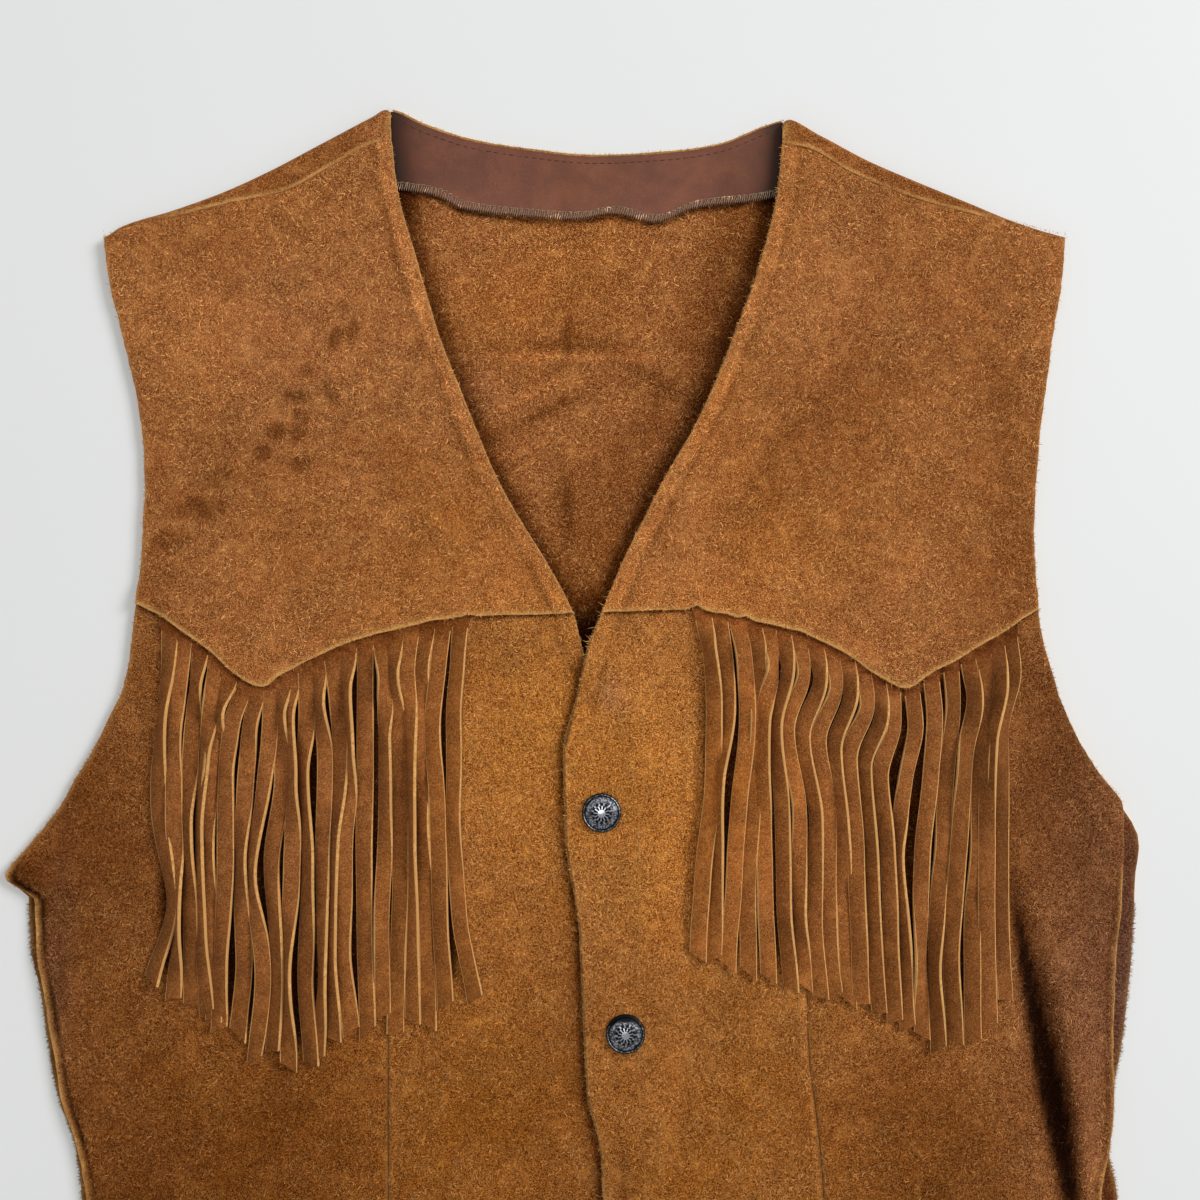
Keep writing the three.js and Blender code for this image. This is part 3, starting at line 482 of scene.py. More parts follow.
def yoke_under(x, y):
    """The yokes lap over the lower fronts and the roots of the fringe."""
    above = y - smooth_read(YOKE_SEAM, "x", "y", x)
    base = np.where(x > 0, lap_under(x, y), front_under(x, y))
    lip = mix(LIP_PLAIN, LIP_OVER_FRINGE, fringed(x)) + 0.25 * fringed(x) * ripple(x, y, 6, 9)
    return base + lip * (1 - smooth((above - 2) / LIP_FADE))


def turned_edge(x, y):
    """The stitched line of the turning that runs inside the V edge, as a shallow groove."""
    inward = edge_inward(x, y)
    pucker = 0.12 * ripple(x * 0.4, y, 3.2, 12) * groove(inward - TURNING / 2, 4)
    return -0.35 * groove(inward - TURNING, 0.9) + 0.25 * smooth((TURNING - inward) / 3) + pucker


def lip_line(x):
    """The yokes' lower edge with the bumps of its cut."""
    y = yoke_line(x)
    for at, width, height in zip(*LIP_BUMPS.values()):
        y = y + height * groove(x - at, width)
    return y


def crease_shade_and_edge_highlight(x, y):
    """How much darker painted shade makes the fronts in their creases, and lighter a painted highlight makes
    the V edge: 1 is neither.
    """
    inward = edge_inward(x, y)
    from_left, from_right = x - side_line("front_left")(y), side_line("front_right")(y) - x
    low = smooth((-28 - y) / 10)
    uneven = 0.8 + 0.5 * ripple(x, y, 12, 25)
    # Painted shade in the groove of the turning inside the V edge, and in the creases beside the lower sides
    dark = 0.27 * groove(inward - TURNING - 0.8, 1.8) * uneven
    dark = dark + low * (0.9 * groove(from_left - 2.7, 1.3) + 0.3 * groove(from_right - 3.2, 0.9)) * uneven
    in_v = smooth((y - 60) / 20) * uneven
    # A paler band along the V edge, partly the edge's own wear, with a painted highlight on its rolled crest
    edge_wear_and_highlight = 0.12 * smooth((TURNING + 1 - inward) / 3) + 0.2 * groove(inward - 4.6, 1.5)
    return 1 - dark + edge_wear_and_highlight * in_v


def fringe_shadow(x, y):
    """How dark the painted shade makes the lower fronts where the fringe lies over them."""
    sway = 3.5 * smooth((40 - y) / 90)
    left = smooth((x + 172 + sway) / 4) * smooth((-47 - x) / 4)
    right = smooth((x - 53 - 0.6 * sway) / 4) * smooth((184 - sway - x) / 4)
    left_end, right_end = (np.interp(x, side["tip"], side["end"]) for side in (LEFT_STRANDS, RIGHT_STRANDS))
    end = np.where(x < 0, left_end, right_end)
    below = smooth((yoke_line(x) - 2 - y) / 5) * smooth((y - end - 5) / 8)
    return 1 - 0.86 * (left + right) * below


def activate(piece):
    """Selects one piece alone, as the active one."""
    bpy.ops.object.select_all(action="DESELECT")
    piece.select_set(True)
    bpy.context.view_layer.objects.active = piece


def apply_modifier(piece, kind, **settings):
    """Adds a modifier to a piece and applies it."""
    activate(piece)
    bpy.ops.object.modifier_add(type=kind)
    modifier = piece.modifiers[-1]
    for key, value in settings.items():
        setattr(modifier, key, value)
    bpy.ops.object.modifier_apply(modifier=modifier.name)


def new_mesh(name, points, faces, materials, attributes=None, face_slots=None):
    """A mesh object at the origin from points in millimetres."""
    mesh = bpy.data.meshes.new(name)
    mesh.from_pydata((np.asarray(points, float) * MM).tolist(), [], [tuple(face) for face in faces])
    for material in materials:
        mesh.materials.append(material)
    for key, values in (attributes or {}).items():
        values = np.asarray(values, np.float32)
        if values.ndim == 2:
            layer = mesh.attributes.new(key, "FLOAT_COLOR", "POINT")
            layer.data.foreach_set("color", values.ravel())
        else:
            mesh.attributes.new(key, "FLOAT", "POINT").data.foreach_set("value", values)
    if face_slots is not None:
        mesh.polygons.foreach_set("material_index", np.asarray(face_slots, np.int32))
    mesh.update()
    piece = bpy.data.objects.new(name, mesh)
    bpy.context.scene.collection.objects.link(piece)
    return piece


def tone_at(patches, x, y, shade=1.0):
    """Light and orange of the suede at places, as half of the colour to multiply it by."""
    light = 0.07 * ripple(x, y, 30, 21) + 0.06 * ripple(x, y, 11, 22) + 0.05 * ripple(x, y, 5, 24)
    orange = 0.07 * ripple(x, y, 40, 23)
    for px, py, wide, high, turn, more, warm in zip(*patches.values()):
        u, v = turned(x - px, y - py, turn, wide, high)
        weight = np.exp(-(u * u + v * v))
        light = light + more * weight
        orange = orange + warm * weight
    if patches is FRONT_PATCHES:
        for px, py, wide, high, turn, more in zip(*STAINS.values()):
            out = np.hypot(*turned(x - px, y - py, turn, wide, high)) + 0.2 * ripple(x, y, 3, 26)
            light = light + 1.25 * more * (1 - smooth(1.8 * out - 1.1))
    bright = np.maximum((1 + light) * shade, 0.04)
    # Dark suede is also the redder one
    red = np.minimum(bright, 1)
    colours = (bright * (1 + 0.15 * orange), bright * red**0.22, bright * red**0.6 * (1 - orange))
    return np.clip(0.5 * np.stack([*colours, 2 * np.ones_like(bright)], axis=-1), 0, 1).reshape(-1, 4)


def grid_faces(rows, columns):
    """Quads of a grid of points, wound so that they face up."""
    a = (np.arange(rows - 1)[:, None] * columns + np.arange(columns - 1)[None, :]).ravel()
    return np.stack([a, a + 1, a + columns + 1, a + columns], axis=1)


# Distances from a border, in millimetres, at which a panel has extra rows or columns
NEAR_BORDER = (0.5, 1.1, 1.8, 2.6, 3.4, 4.2, 5.2, 6.4, 7.4, 8.2, 9.2, 10.6)


def close_at_ends(count, size):
    """Values from 0 to 1 across a size in millimetres, close together near both ends."""
    near = np.array(NEAR_BORDER) / size
    middle = np.linspace(0, 1, count)
    middle = middle[(middle > near[-1] * 1.1) & (middle < 1 - near[-1] * 1.1)]
    return np.concatenate([[0], near, middle, 1 - near[::-1], [1]])


def panel_grid(low, high, left, right, corners, wide, tall, fine=1.0):
    """Places on a panel. corners gives the heights low_left, low_right, high_left and high_right."""
    low_left, low_right, high_left, high_right = corners
    spacing = measure("spacing") * fine
    u = close_at_ends(max(4, int(wide / spacing)), wide)[None, :]
    v = close_at_ends(max(4, int(tall / spacing)), tall)[:, None]
    left_y, right_y = mix(low_left, high_left, v), mix(low_right, high_right, v)
    low_x = mix(left(low_left), right(low_right), u)
    high_x = mix(left(high_left), right(high_right), u)
    x = mix(left(left_y), right(right_y), u)
    y = mix(low(low_x), high(high_x), v)
    return x + 0 * y, y + 0 * x


def ragged(x, y, seed, raw):
    """Moves the low, high, left and right borders of a grid in and out by their share of raggedness."""
    amount = measure("ragged")
    x, y = x.copy(), y.copy()
    borders = ((np.s_[0:2, :], 1), (np.s_[-2:, :], 1), (np.s_[:, 0:2], 0), (np.s_[:, -2:], 0))
    for (border, axis), share in zip(borders, raw):
        px, py = x[border], y[border]
        shift = share * amount * (0.6 * ripple(px, py, 7, seed) + 0.5 * ripple(px, py, 2.6, seed + 1))
        if axis:
            y[border] = py + shift
        else:
            x[border] = px + shift
    return x, y


def worn(x, y, edges, seed):
    """Wear of a grid by its distance from its low, high, left and right edges, from 0 to 1."""
    low = np.hypot(x - x[0], y - y[0])
    high = np.hypot(x - x[-1], y - y[-1])
    left = np.hypot(x - x[:, :1], y - y[:, :1])
    right = np.hypot(x - x[:, -1:], y - y[:, -1:])
    wear = np.zeros_like(x)
    for distance, (amount, reach, _) in zip((low, high, left, right), edges):
        if amount:
            uneven = 0.8 + 0.35 * ripple(x, y, 14, seed) + 0.25 * ripple(x, y, 4, seed + 1)
            wear = np.maximum(wear, amount * uneven * np.exp(-((distance / reach) ** 1.5)))
    return np.clip(wear, 0, 1)


def cloth(name, grid, under, mats, patches, edges, seed, relief=None, thickness=None, shade=None, raw=None):
    """A sheet of suede through a grid of places, with real thickness and rounded cut edges.

    Each of the low, high, left and right edges has its wear, how far that reaches and its raggedness.
    relief, shade and raw give the upper face's height, its light and the share of that wear at a place.
    """
    thickness = thickness or measure("suede")
    x, y = ragged(*grid, seed, [edge[2] for edge in edges])
    z = under(x, y) + thickness
    if relief:
        z = z + relief(x, y)
    points = np.stack([x, y, z], axis=-1).reshape(-1, 3)
    tone = tone_at(patches, x, y, shade(x, y) if shade else 1.0)
    wear = worn(x, y, edges, seed) * (raw(x, y) if raw else 1)
    piece = new_mesh(name, points, grid_faces(*x.shape), mats, {"tone": tone, "wear": wear.ravel()})
    apply_modifier(
        piece, "SOLIDIFY", thickness=thickness * MM, offset=-1, use_even_offset=False,
        material_offset_rim=len(mats) - 1,
    )
    apply_modifier(
        piece, "BEVEL", width=0.3 * MM, segments=2, limit_method="ANGLE", angle_limit=math.radians(55),
    )
    activate(piece)
    bpy.ops.object.shade_smooth_by_angle(angle=math.radians(50))
    return piece


def belong(piece, slot, node=None):
    """Sets what a piece rides on and hides the node that it stands for, if any; the slot for its finish is
    not used.
    """
    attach(piece, BODY)
    if node:
        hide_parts(node)


def finish_sheet(piece, node, slot):
    """Sets what a sheet rides on and hides the node that it stands for; the slot for its finish is not used.
    """
    belong(piece, slot, node)


def scaled(tint, share):
    """A colour times a number, no brighter than white."""
    return tuple(min(1, c * share) for c in tint)


def blend(first, second, share):
    """A colour between two others."""
    return tuple(mix(a, b, share) for a, b in zip(first, second))


class Look:
    """A material in the making: its nodes, its shader and the place of a point on its piece."""

    def __init__(self, name, **sockets):
        material = bpy.data.materials.new(name)
        material.use_nodes = True
        self.tree = material.node_tree
        self.shader = self.tree.nodes["Principled BSDF"]
        for key, value in sockets.items():
            self.shader.inputs[key.replace("_", " ")].default_value = value
        self.place = self.node("TexCoord").outputs["Object"]

    def node(self, kind, **values):
        """Adds a node; names of sockets carry their starting values, others are its settings."""
        node = self.tree.nodes.new("ShaderNode" + kind)
        for key, value in values.items():
            if key in node.inputs:
                node.inputs[key].default_value = value
            else:
                setattr(node, key, value)
        return node

    def feed(self, target, value):
        """Gives a socket another node's output, a number or a plain colour."""
        if isinstance(value, bpy.types.NodeSocket):
            self.tree.links.new(value, target)
        elif isinstance(value, (int, float)):
            target.default_value = value
        else:
            target.default_value = (*value, 1)

    def noise(self, scale, detail, roughness=0.6, distortion=0.0):
        """A noise whose scale is its lumps to a metre."""
        node = self.node("TexNoise", Scale=scale, Detail=detail, Roughness=roughness, Distortion=distortion)
        self.feed(node.inputs["Vector"], self.place)
        return node.outputs["Fac"]

    def ramp(self, source, low, high, to=(0, 1)):
        """Maps a range of a value to another range, softly."""
        ends = {"From Min": low, "From Max": high, "To Min": to[0], "To Max": to[1]}
        node = self.node("MapRange", interpolation_type="SMOOTHSTEP", **ends)
        self.feed(node.inputs["Value"], source)
        return node.outputs["Result"]

    def calc(self, operation, first, second):
        """A sum on two values."""
        node = self.node("Math", operation=operation)
        for socket, value in zip(node.inputs, (first, second)):
            self.feed(socket, value)
        return node.outputs["Value"]

    def mixed(self, factor, first, second, blend_type="MIX"):
        """Mixes two colours."""
        node = self.node("Mix", data_type="RGBA", blend_type=blend_type)
        for index, value in ((0, factor), (6, first), (7, second)):
            self.feed(node.inputs[index], value)
        return node.outputs[2]

    def carried(self, name, socket="Fac"):
        """A value that the mesh carries from point to point."""
        return self.node("Attribute", attribute_name=name).outputs[socket]

    def toned(self, body):
        """Multiplies a colour by the mesh's tone, which is carried as half."""
        doubled = self.mixed(1.0, self.carried("tone", "Color"), (2, 2, 2), "MULTIPLY")
        return self.mixed(1.0, body, doubled, "MULTIPLY")

    def finish(self, body, height=None, strength=1.0, distance=0.0):
        """Gives the shader its colour, and a bump where there is a height."""
        self.feed(self.shader.inputs["Base Color"], body)
        if height is not None:
            bump = self.node("Bump", Strength=strength, Distance=distance)
            self.feed(bump.inputs["Height"], height)
            self.feed(self.shader.inputs["Normal"], bump.outputs["Normal"])


def suede_material(name, base, deep, pale, edge, shift=0.0, nap=1.0):
    """Brushed suede: blotches, fine packed fibre and pale wear where the mesh says so."""
    look = Look(
        name, Roughness=0.95, Specular_IOR_Level=0.03, Sheen_Weight=0.05, Sheen_Roughness=0.5,
        Sheen_Tint=(1.0, 0.66, 0.36, 1.0),
    )
    move = look.node("Mapping", Location=(shift, shift * 0.7, shift * 0.3))
    look.feed(move.inputs["Vector"], look.place)
    look.place = move.outputs["Vector"]
    blotch = look.noise(34, 4, 0.6, 0.6)
    mottle = look.noise(120, 4, 0.65, 1.0)
    cloud = look.noise(400, 3, 0.6, 0.6)
    curls = look.noise(1800, 2, 0.6, 1.6)
    crumbs = look.noise(2600, 2, 0.6, 1.0)
    darker = tuple(c * share for c, share in zip(deep, (0.5, 0.38, 0.35)))
    body = base
    # Each layer: its noise, where that starts and where it is full, its share and its colour
    for source, low, high, share, tint in (
        (mottle, 0.6, 0.36, 0.5, deep),
        (blotch, 0.56, 0.38, 0.35, deep),
        (mottle, 0.52, 0.7, 0.3 * nap, pale),
        (cloud, 0.5, 0.34, 0.3 * max(nap, 1), darker),
        (curls, 0.5, 0.38, min(0.62 * nap, 1), darker),
        (curls, 0.52, 0.66, 0.75 * nap, pale),
        (crumbs, 0.56, 0.66, 0.95 * nap, scaled(pale, 1.2)),
    ):
        body = look.mixed(look.calc("MULTIPLY", look.ramp(source, low, high), share), body, tint)
    broken = look.calc("MULTIPLY", look.carried("wear"), look.ramp(curls, 0.3, 0.56))
    height = look.calc("ADD", look.calc("MULTIPLY", cloud, 0.6), look.calc("MULTIPLY", curls, 0.4))
    look.finish(look.mixed(broken, look.toned(body), edge), height, strength=0.9, distance=0.0008)


def edge_material(name, edge, deep):
    """The raw cut edge of suede: pale packed fibres with darker nicks."""
    look = Look(
        name, Roughness=0.9, Specular_IOR_Level=0.2, Sheen_Weight=0.2, Sheen_Tint=(1.0, 0.85, 0.65, 1.0),
    )
    nicks = look.noise(700, 3, 0.6, 0.8)
    body = look.mixed(look.ramp(nicks, 0.62, 0.34), edge, blend(edge, deep, 0.45))
    body = look.mixed(look.ramp(look.noise(60, 2), 0.62, 0.36), body, blend(edge, deep, 0.28))
    look.finish(body, nicks, strength=0.5, distance=0.0003)


def facing_material(name, base):
    """The smooth side of the hide: matt, finely pebbled, scuffed."""
    look = Look(name, Specular_IOR_Level=0.35)
    scuff = look.noise(90, 5, 0.7, 0.3)
    pebble = look.noise(1500, 2, 0.5)
    body = look.mixed(look.ramp(scuff, 0.35, 0.68), scaled(base, 0.72), base)
    light = tuple(min(1, c * 1.5 + 0.02) for c in base)
    body = look.mixed(look.calc("MULTIPLY", look.ramp(pebble, 0.58, 0.74), 0.4), body, light)
    body = look.mixed(look.calc("MULTIPLY", look.carried("wear"), 0.6), body, scaled(base, 0.5))
    look.feed(look.shader.inputs["Roughness"], look.ramp(scuff, 0.2, 0.9, (0.6, 0.85)))
    look.finish(look.toned(body), pebble, strength=0.35, distance=0.0003)


def fibre_material(name, base, spread):
    """Loose fibres: each has its own share of light, and the tone of the suede that it grows from."""
    look = Look(
        name, Roughness=0.85, Specular_IOR_Level=0.15, Sheen_Weight=0.1, Sheen_Tint=(1.0, 0.8, 0.55, 1.0),
    )
    uneven = look.calc("MULTIPLY", look.noise(300, 1), 0.3)
    lit = look.calc("ADD", look.calc("POWER", look.carried("share"), 3.0), uneven)
    look.finish(look.toned(look.mixed(lit, scaled(base, spread), base)))


def thread_material(name, base):
    """Twisted sewing thread."""
    look = Look(name, Roughness=0.7, Specular_IOR_Level=0.3, Sheen_Weight=0.2)
    body = look.mixed(look.ramp(look.noise(900, 2, 0.5, 0.5), 0.35, 0.6), scaled(base, 0.55), base)
    flecks = look.ramp(look.noise(260, 2, 0.5), 0.62, 0.68)
    look.finish(look.mixed(flecks, body, scaled(base, 2.6)))


def metal_material(name, base):
    """Antique nickel: bright on the raised work, dark and rough in the hollows."""
    look = Look(name, Metallic=1.0)
    hollow = look.carried("hollow")
    tarnish = look.noise(700, 4, 0.65)
    body = look.mixed(look.ramp(tarnish, 0.3, 0.75), scaled(base, 0.7), base)
    raised = look.calc("SUBTRACT", 1.0, look.calc("POWER", hollow, 6.0))
    rubbed = look.calc("MULTIPLY", raised, look.ramp(look.noise(1300, 1), 0.5, 0.56))
    body = look.mixed(hollow, body, scaled(base, 0.025))
    rough = look.mixed(hollow, (0.16, 0.16, 0.16), (0.5, 0.5, 0.5))
    look.feed(look.shader.inputs["Roughness"], rough)
    look.finish(look.mixed(rubbed, body, base), tarnish, strength=0.2, distance=0.0001)


def materials():
    """The vest's materials by name, made once."""
    if "suede_front" not in bpy.data.materials:
        tints = bpy.context.scene.vest_colours
        base, deep, pale = tuple(tints.suede), tuple(tints.suede_deep), tuple(tints.suede_pale)
        edge, inner = tuple(tints.cut_edge), tuple(tints.back)
        suede_material("suede_front", base, deep, pale, edge)
        suede_material("suede_lower", base, deep, pale, edge, shift=0.83, nap=1.45)
        suede_material("suede_back", inner, scaled(inner, 0.55), pale, edge, shift=0.31)
        suede_material("suede_fringe", scaled(base, 0.86), deep, pale, edge, shift=0.57, nap=0.45)
        edge_material("cut_edge", edge, deep)
        facing_material("smooth_hide", tuple(tints.facing))
        fibre_material("nap_pale", scaled(pale, 1.26), spread=0.26)
        fibre_material("nap_edge", edge, spread=0.4)
        thread_material("overlock_thread", tuple(tints.thread))
        thread_material("seam_thread", scaled(tints.facing, 0.5))
        metal_material("antique_nickel", tuple(tints.metal))
    return bpy.data.materials


def side_line(column):
    """A side of the fronts or the back, as X for a height on the vest."""
    return lambda y: smooth_read(SIDES, "y", column, y)


def edge_line(column):
    """A front edge, in the same way."""
    return lambda y: smooth_read(FRONT_EDGES, "y", column, y)


def seam_line(column, offset):
    """An upright seam, in the same way, moved by an offset."""
    return lambda y: smooth_read(FRONT_SEAMS, "y", column, y) + offset


def yoke_line(x):
    """The yokes' lower edge as it was drawn, before the bumps of its cut."""
    return smooth_read(YOKE_SEAM, "x", "y", x)


def seam_corner(x):
    """Height of the lower fronts' upper edge, tucked under the yokes."""
    return float(yoke_line(np.array(float(x)))) + LIP_TUCK


def shoulder_line(x):
    """The yokes' upper edge, just short of the seam."""
    return smooth_read(SHOULDER_SEAM, "x", "y", x) - 0.15


def back_grid():
    """Places on the back: even rows whose upper ones spread to meet the folds and the neck curve."""
    spacing = measure("spacing") * 0.75
    tip_y = BACK_TOP["y"][0]
    tip_left, tip_right = SIDES["back_left"][0], SIDES["back_right"][0]
    neck = np.array([NECK_LEFT_X - 0.6, NECK_LEFT_X, NECK_RIGHT_X, NECK_RIGHT_X + 0.6]) - tip_left
    wide, tall = 430, 525
    # Points are close together where the V shows them, and wide apart under the fronts
    in_v = np.arange(0.27, 0.73, spacing / 400)
    u = np.concatenate([close_at_ends(int(wide / spacing / 4), wide), neck / (tip_right - tip_left), in_v])
    in_v = np.arange(0.64, 0.97, spacing / tall)
    rows = np.concatenate([close_at_ends(int(tall / spacing / 3), tall), in_v])
    u, rows = np.unique(np.round(u, 5))[None, :], np.unique(np.round(rows, 5))[:, None]
    y = mix(HEM_Y, tip_y, rows)
    top_x = mix(tip_left, tip_right, u)
    over_neck = (top_x > NECK_LEFT_X - 0.1) & (top_x < NECK_RIGHT_X + 0.1)
    suede = measure("suede")
    inset = np.where(over_neck, 0, roll_radius(top_x) + suede / 2 + 0.6)
    top_y = smooth_read(BACK_TOP, "x", "y", top_x) - inset
    spread = np.clip((y - ARMHOLE_LEVEL_Y) / (tip_y - ARMHOLE_LEVEL_Y), 0, 1)
    x = mix(side_line("back_left")(y), side_line("back_right")(y), u)
    return x, y + spread * (top_y - tip_y)


def back_under(x, y):
    """The back lies flat; only its upper face has creases, where the V shows it."""
    return 0 * x


def neck_shade(x, y):
    """Painted shade on the back and its facing: under the V's edges, at the V's point and under the facing's
    edge.
    """
    left, right = front_edges(y)
    inside = np.clip(np.minimum(x - left, right - x), 0, 60)
    on_facing = smooth((y - 238) / 12)
    edge = mix(0.66, 0.84, on_facing) * groove(inside, mix(6.5, 8.5, on_facing))
    point = 0.93 * smooth((100 - y) / 30)
    # Painted shadow in a line under the facing's lower edge
    facing_edge_shadow = 0.8 * groove(smooth_read(FACING_EDGE, "x", "y", x) - 1.3 - y, 1.1)
    return (1 - np.maximum(edge, point * (y > 40))) * (1 - facing_edge_shadow * (np.abs(x - V_MIDDLE_X) < 90))


def back_relief(x, y):
    """The back's creases, where the V shows it."""
    inside = smooth((50 - np.abs(x - V_MIDDLE_X)) / 30) * smooth((y - 60) / 40) * smooth((268 - y) / 12)
    return np.maximum(1.5 * fold_sum(BACK_CREASES, x, y) * inside + 0.12 * ripple(x, y, 14, 31) * inside, 0)


def shoulder_fold(name, from_x, to_x, suede_mats):
    """The back where it turns over the shoulder and comes forward to the seam."""
    suede = measure("suede")
    across = mix(from_x, to_x, close_at_ends(70, abs(to_x - from_x)))[None, :]
    t = np.linspace(0, 1, 22)[:, None]
    neck_x = NECK_LEFT_X if from_x < 0 else NECK_RIGHT_X
    from_neck = np.abs(across - neck_x)
    # The corner at the neck is rounded off, as its turned edge is
    corner = NECK_CORNER * (1 - np.sqrt(1 - np.clip(1 - from_neck / NECK_CORNER, 0, 1) ** 2))
    radius = roll_radius(across) + suede / 2
    centre_y = smooth_read(BACK_TOP, "x", "y", across) - radius - 0.8 * corner
    seam_y = smooth_read(SHOULDER_SEAM, "x", "y", across)
    forward = np.maximum(0, centre_y - seam_y + 0.2)
    last = np.arccos(np.clip((seam_y - centre_y) / radius, 0, 0.9))
    arc = (last + math.pi / 2) * radius
    along = t * (arc + forward)
    angle = np.minimum(along, arc) / radius - math.pi / 2
    past = np.maximum(0, along - arc)
    x, to_seam = across + 0 * t, forward - past
    uneven = 0.2 * ripple(x, to_seam, 7, 41) * smooth(past / 4)
    y = centre_y + radius * np.cos(angle) - past
    z = radius + radius * np.sin(angle) + uneven
    z = z + (0.3 + 0.15 * ripple(x, 0 * x, 6, 42)) * smooth((2.4 - to_seam) / 2) * (forward > 2)
    points = np.stack([x, y, z], axis=-1).reshape(-1, 3)
    uneven = 0.7 + 0.45 * ripple(x, y, 9, 43) + 0.25 * ripple(x, y, 3, 44)
    wear = 0.95 * groove(to_seam - 0.5, 0.9) * smooth(forward / 2) * uneven
    wear = np.maximum(wear, 0.45 * groove(angle - 0.2, 0.7) * uneven)
    wear = np.clip(np.maximum(wear, 0.85 * np.exp(-from_neck / 2.2) * uneven), 0, 1)
    tone = tone_at(FRONT_PATCHES, x, y, 0.82 + 0 * x)
    piece = new_mesh(name, points, grid_faces(*x.shape), suede_mats, {"tone": tone, "wear": wear.ravel()})
    apply_modifier(
        piece, "SOLIDIFY", thickness=suede * MM, offset=-1, use_even_offset=False, material_offset_rim=1,
    )
    return piece


def rolled_strand(strand, under, rng):
    """A flat strip that rolls and sways as it falls: its points, faces, their slots, wear and edges."""
    half_thick = measure("strand_thickness") / 2
    half_wide = measure("strand_width") / 2 * rng.uniform(0.94, 1.06)
    count = 56
    t = np.linspace(0, 1, count) ** 1.15

    def wave(stretch, own, size, seed):
        return ripple(t * stretch, 0 * t + strand["root"] * own, size, seed)

    levels = np.array([*STRAND_LEVELS.values()])
    places = {"t": levels, "x": np.array([strand[name] for name in STRAND_LEVELS])}
    turns = [strand["roll_" + name] for name in STRAND_LEVELS if name != "root"]
    rolls = {"t": np.array([0, 0.03, *levels[1:]]), "roll": np.array([0, 0, *turns])}
    x = smooth_read(places, "t", "x", t) + 0.35 * wave(60, 9, 8, 51) * smooth(t * 6)
    roll = np.radians(0.88 * smooth_read(rolls, "t", "roll", t) + 7 * wave(60, 7, 7, 52))
    roll = roll * smooth((t - 0.015) / 0.05)
    y = mix(yoke_line(strand["root"]) + 1.5, strand["end"], t)
    # The tips settle onto the cloth
    settle = 1 - 0.8 * smooth((t - 0.8) / 0.2)
    over = strand["over"] * smooth((t - 0.04) / 0.12) * settle
    z = under(x, y) + measure("suede") + 0.2 + half_thick + 0.85 * half_wide * np.abs(np.sin(roll)) + over
    z = z + 0.25 * (1 + wave(50, 5, 9, 53)) * smooth((t - 0.1) / 0.3) * settle
    heading = np.arctan2(np.gradient(x), -np.gradient(y))
    bevel = 0.28 * smooth((t - 0.02) / 0.03)
    wide_at = half_wide + 0.3 * (1 - smooth(t / 0.05))
    # Corners of the section: across, whether it is full thick there, and the face that it is on
    section = (
        (-1, 0, 1), (-0.9, 1, 1), (0.9, 1, 1), (1, 0, 1),
        (1, 0, -1), (0.9, 1, -1), (-0.9, 1, -1), (-1, 0, -1),
    )
    cut = rng.uniform(-3.2, 3.2)
    points, wears = [], []
    for wide, full, face in section:
        thick = face * (1 - bevel * (1 - full))
        side = wide * wide_at * np.cos(roll) - thick * half_thick * np.sin(roll)
        lift = wide * wide_at * np.sin(roll) + thick * half_thick * np.cos(roll)
        slant = cut * wide * smooth((t - 0.92) / 0.08)
        px, py = x + side * np.cos(heading), y + side * np.sin(heading) + slant
        points.append(np.stack([px, py, z + lift], axis=1))
        wears.append((0.1 if full else 0.55) * smooth((t - 0.03) / 0.05))
    ring = len(section)
    rings, wears = np.stack(points, axis=1), np.stack(wears, axis=1).reshape(-1)
    faces, slots = [], []
    for s in range(count - 1):
        for k in range(ring):
            a, b = s * ring + k, s * ring + (k + 1) % ring
            faces.append((a, b, b + ring, a + ring))
            # The upper and under sides are suede, and what is left is cut edge
            slots.append(1 if k not in (1, 5) and t[s] > 0.03 else 0)
    faces += [tuple(range(ring - 1, -1, -1)), tuple(range((count - 1) * ring, count * ring))]
    slots += [1, 1]
    edges = [(*rings[4:-1, corner].T, np.full(count - 5, out)) for corner, out in ((1, math.pi), (2, 0.0))]
    return rings.reshape(-1, 3), faces, slots, wears, edges


def face_outwards(piece):
    """Turns the faces of a closed piece outwards."""
    activate(piece)
    bpy.ops.object.mode_set(mode="EDIT")
    bpy.ops.mesh.select_all(action="SELECT")
    bpy.ops.mesh.normals_make_consistent(inside=False)
    bpy.ops.object.mode_set(mode="OBJECT")


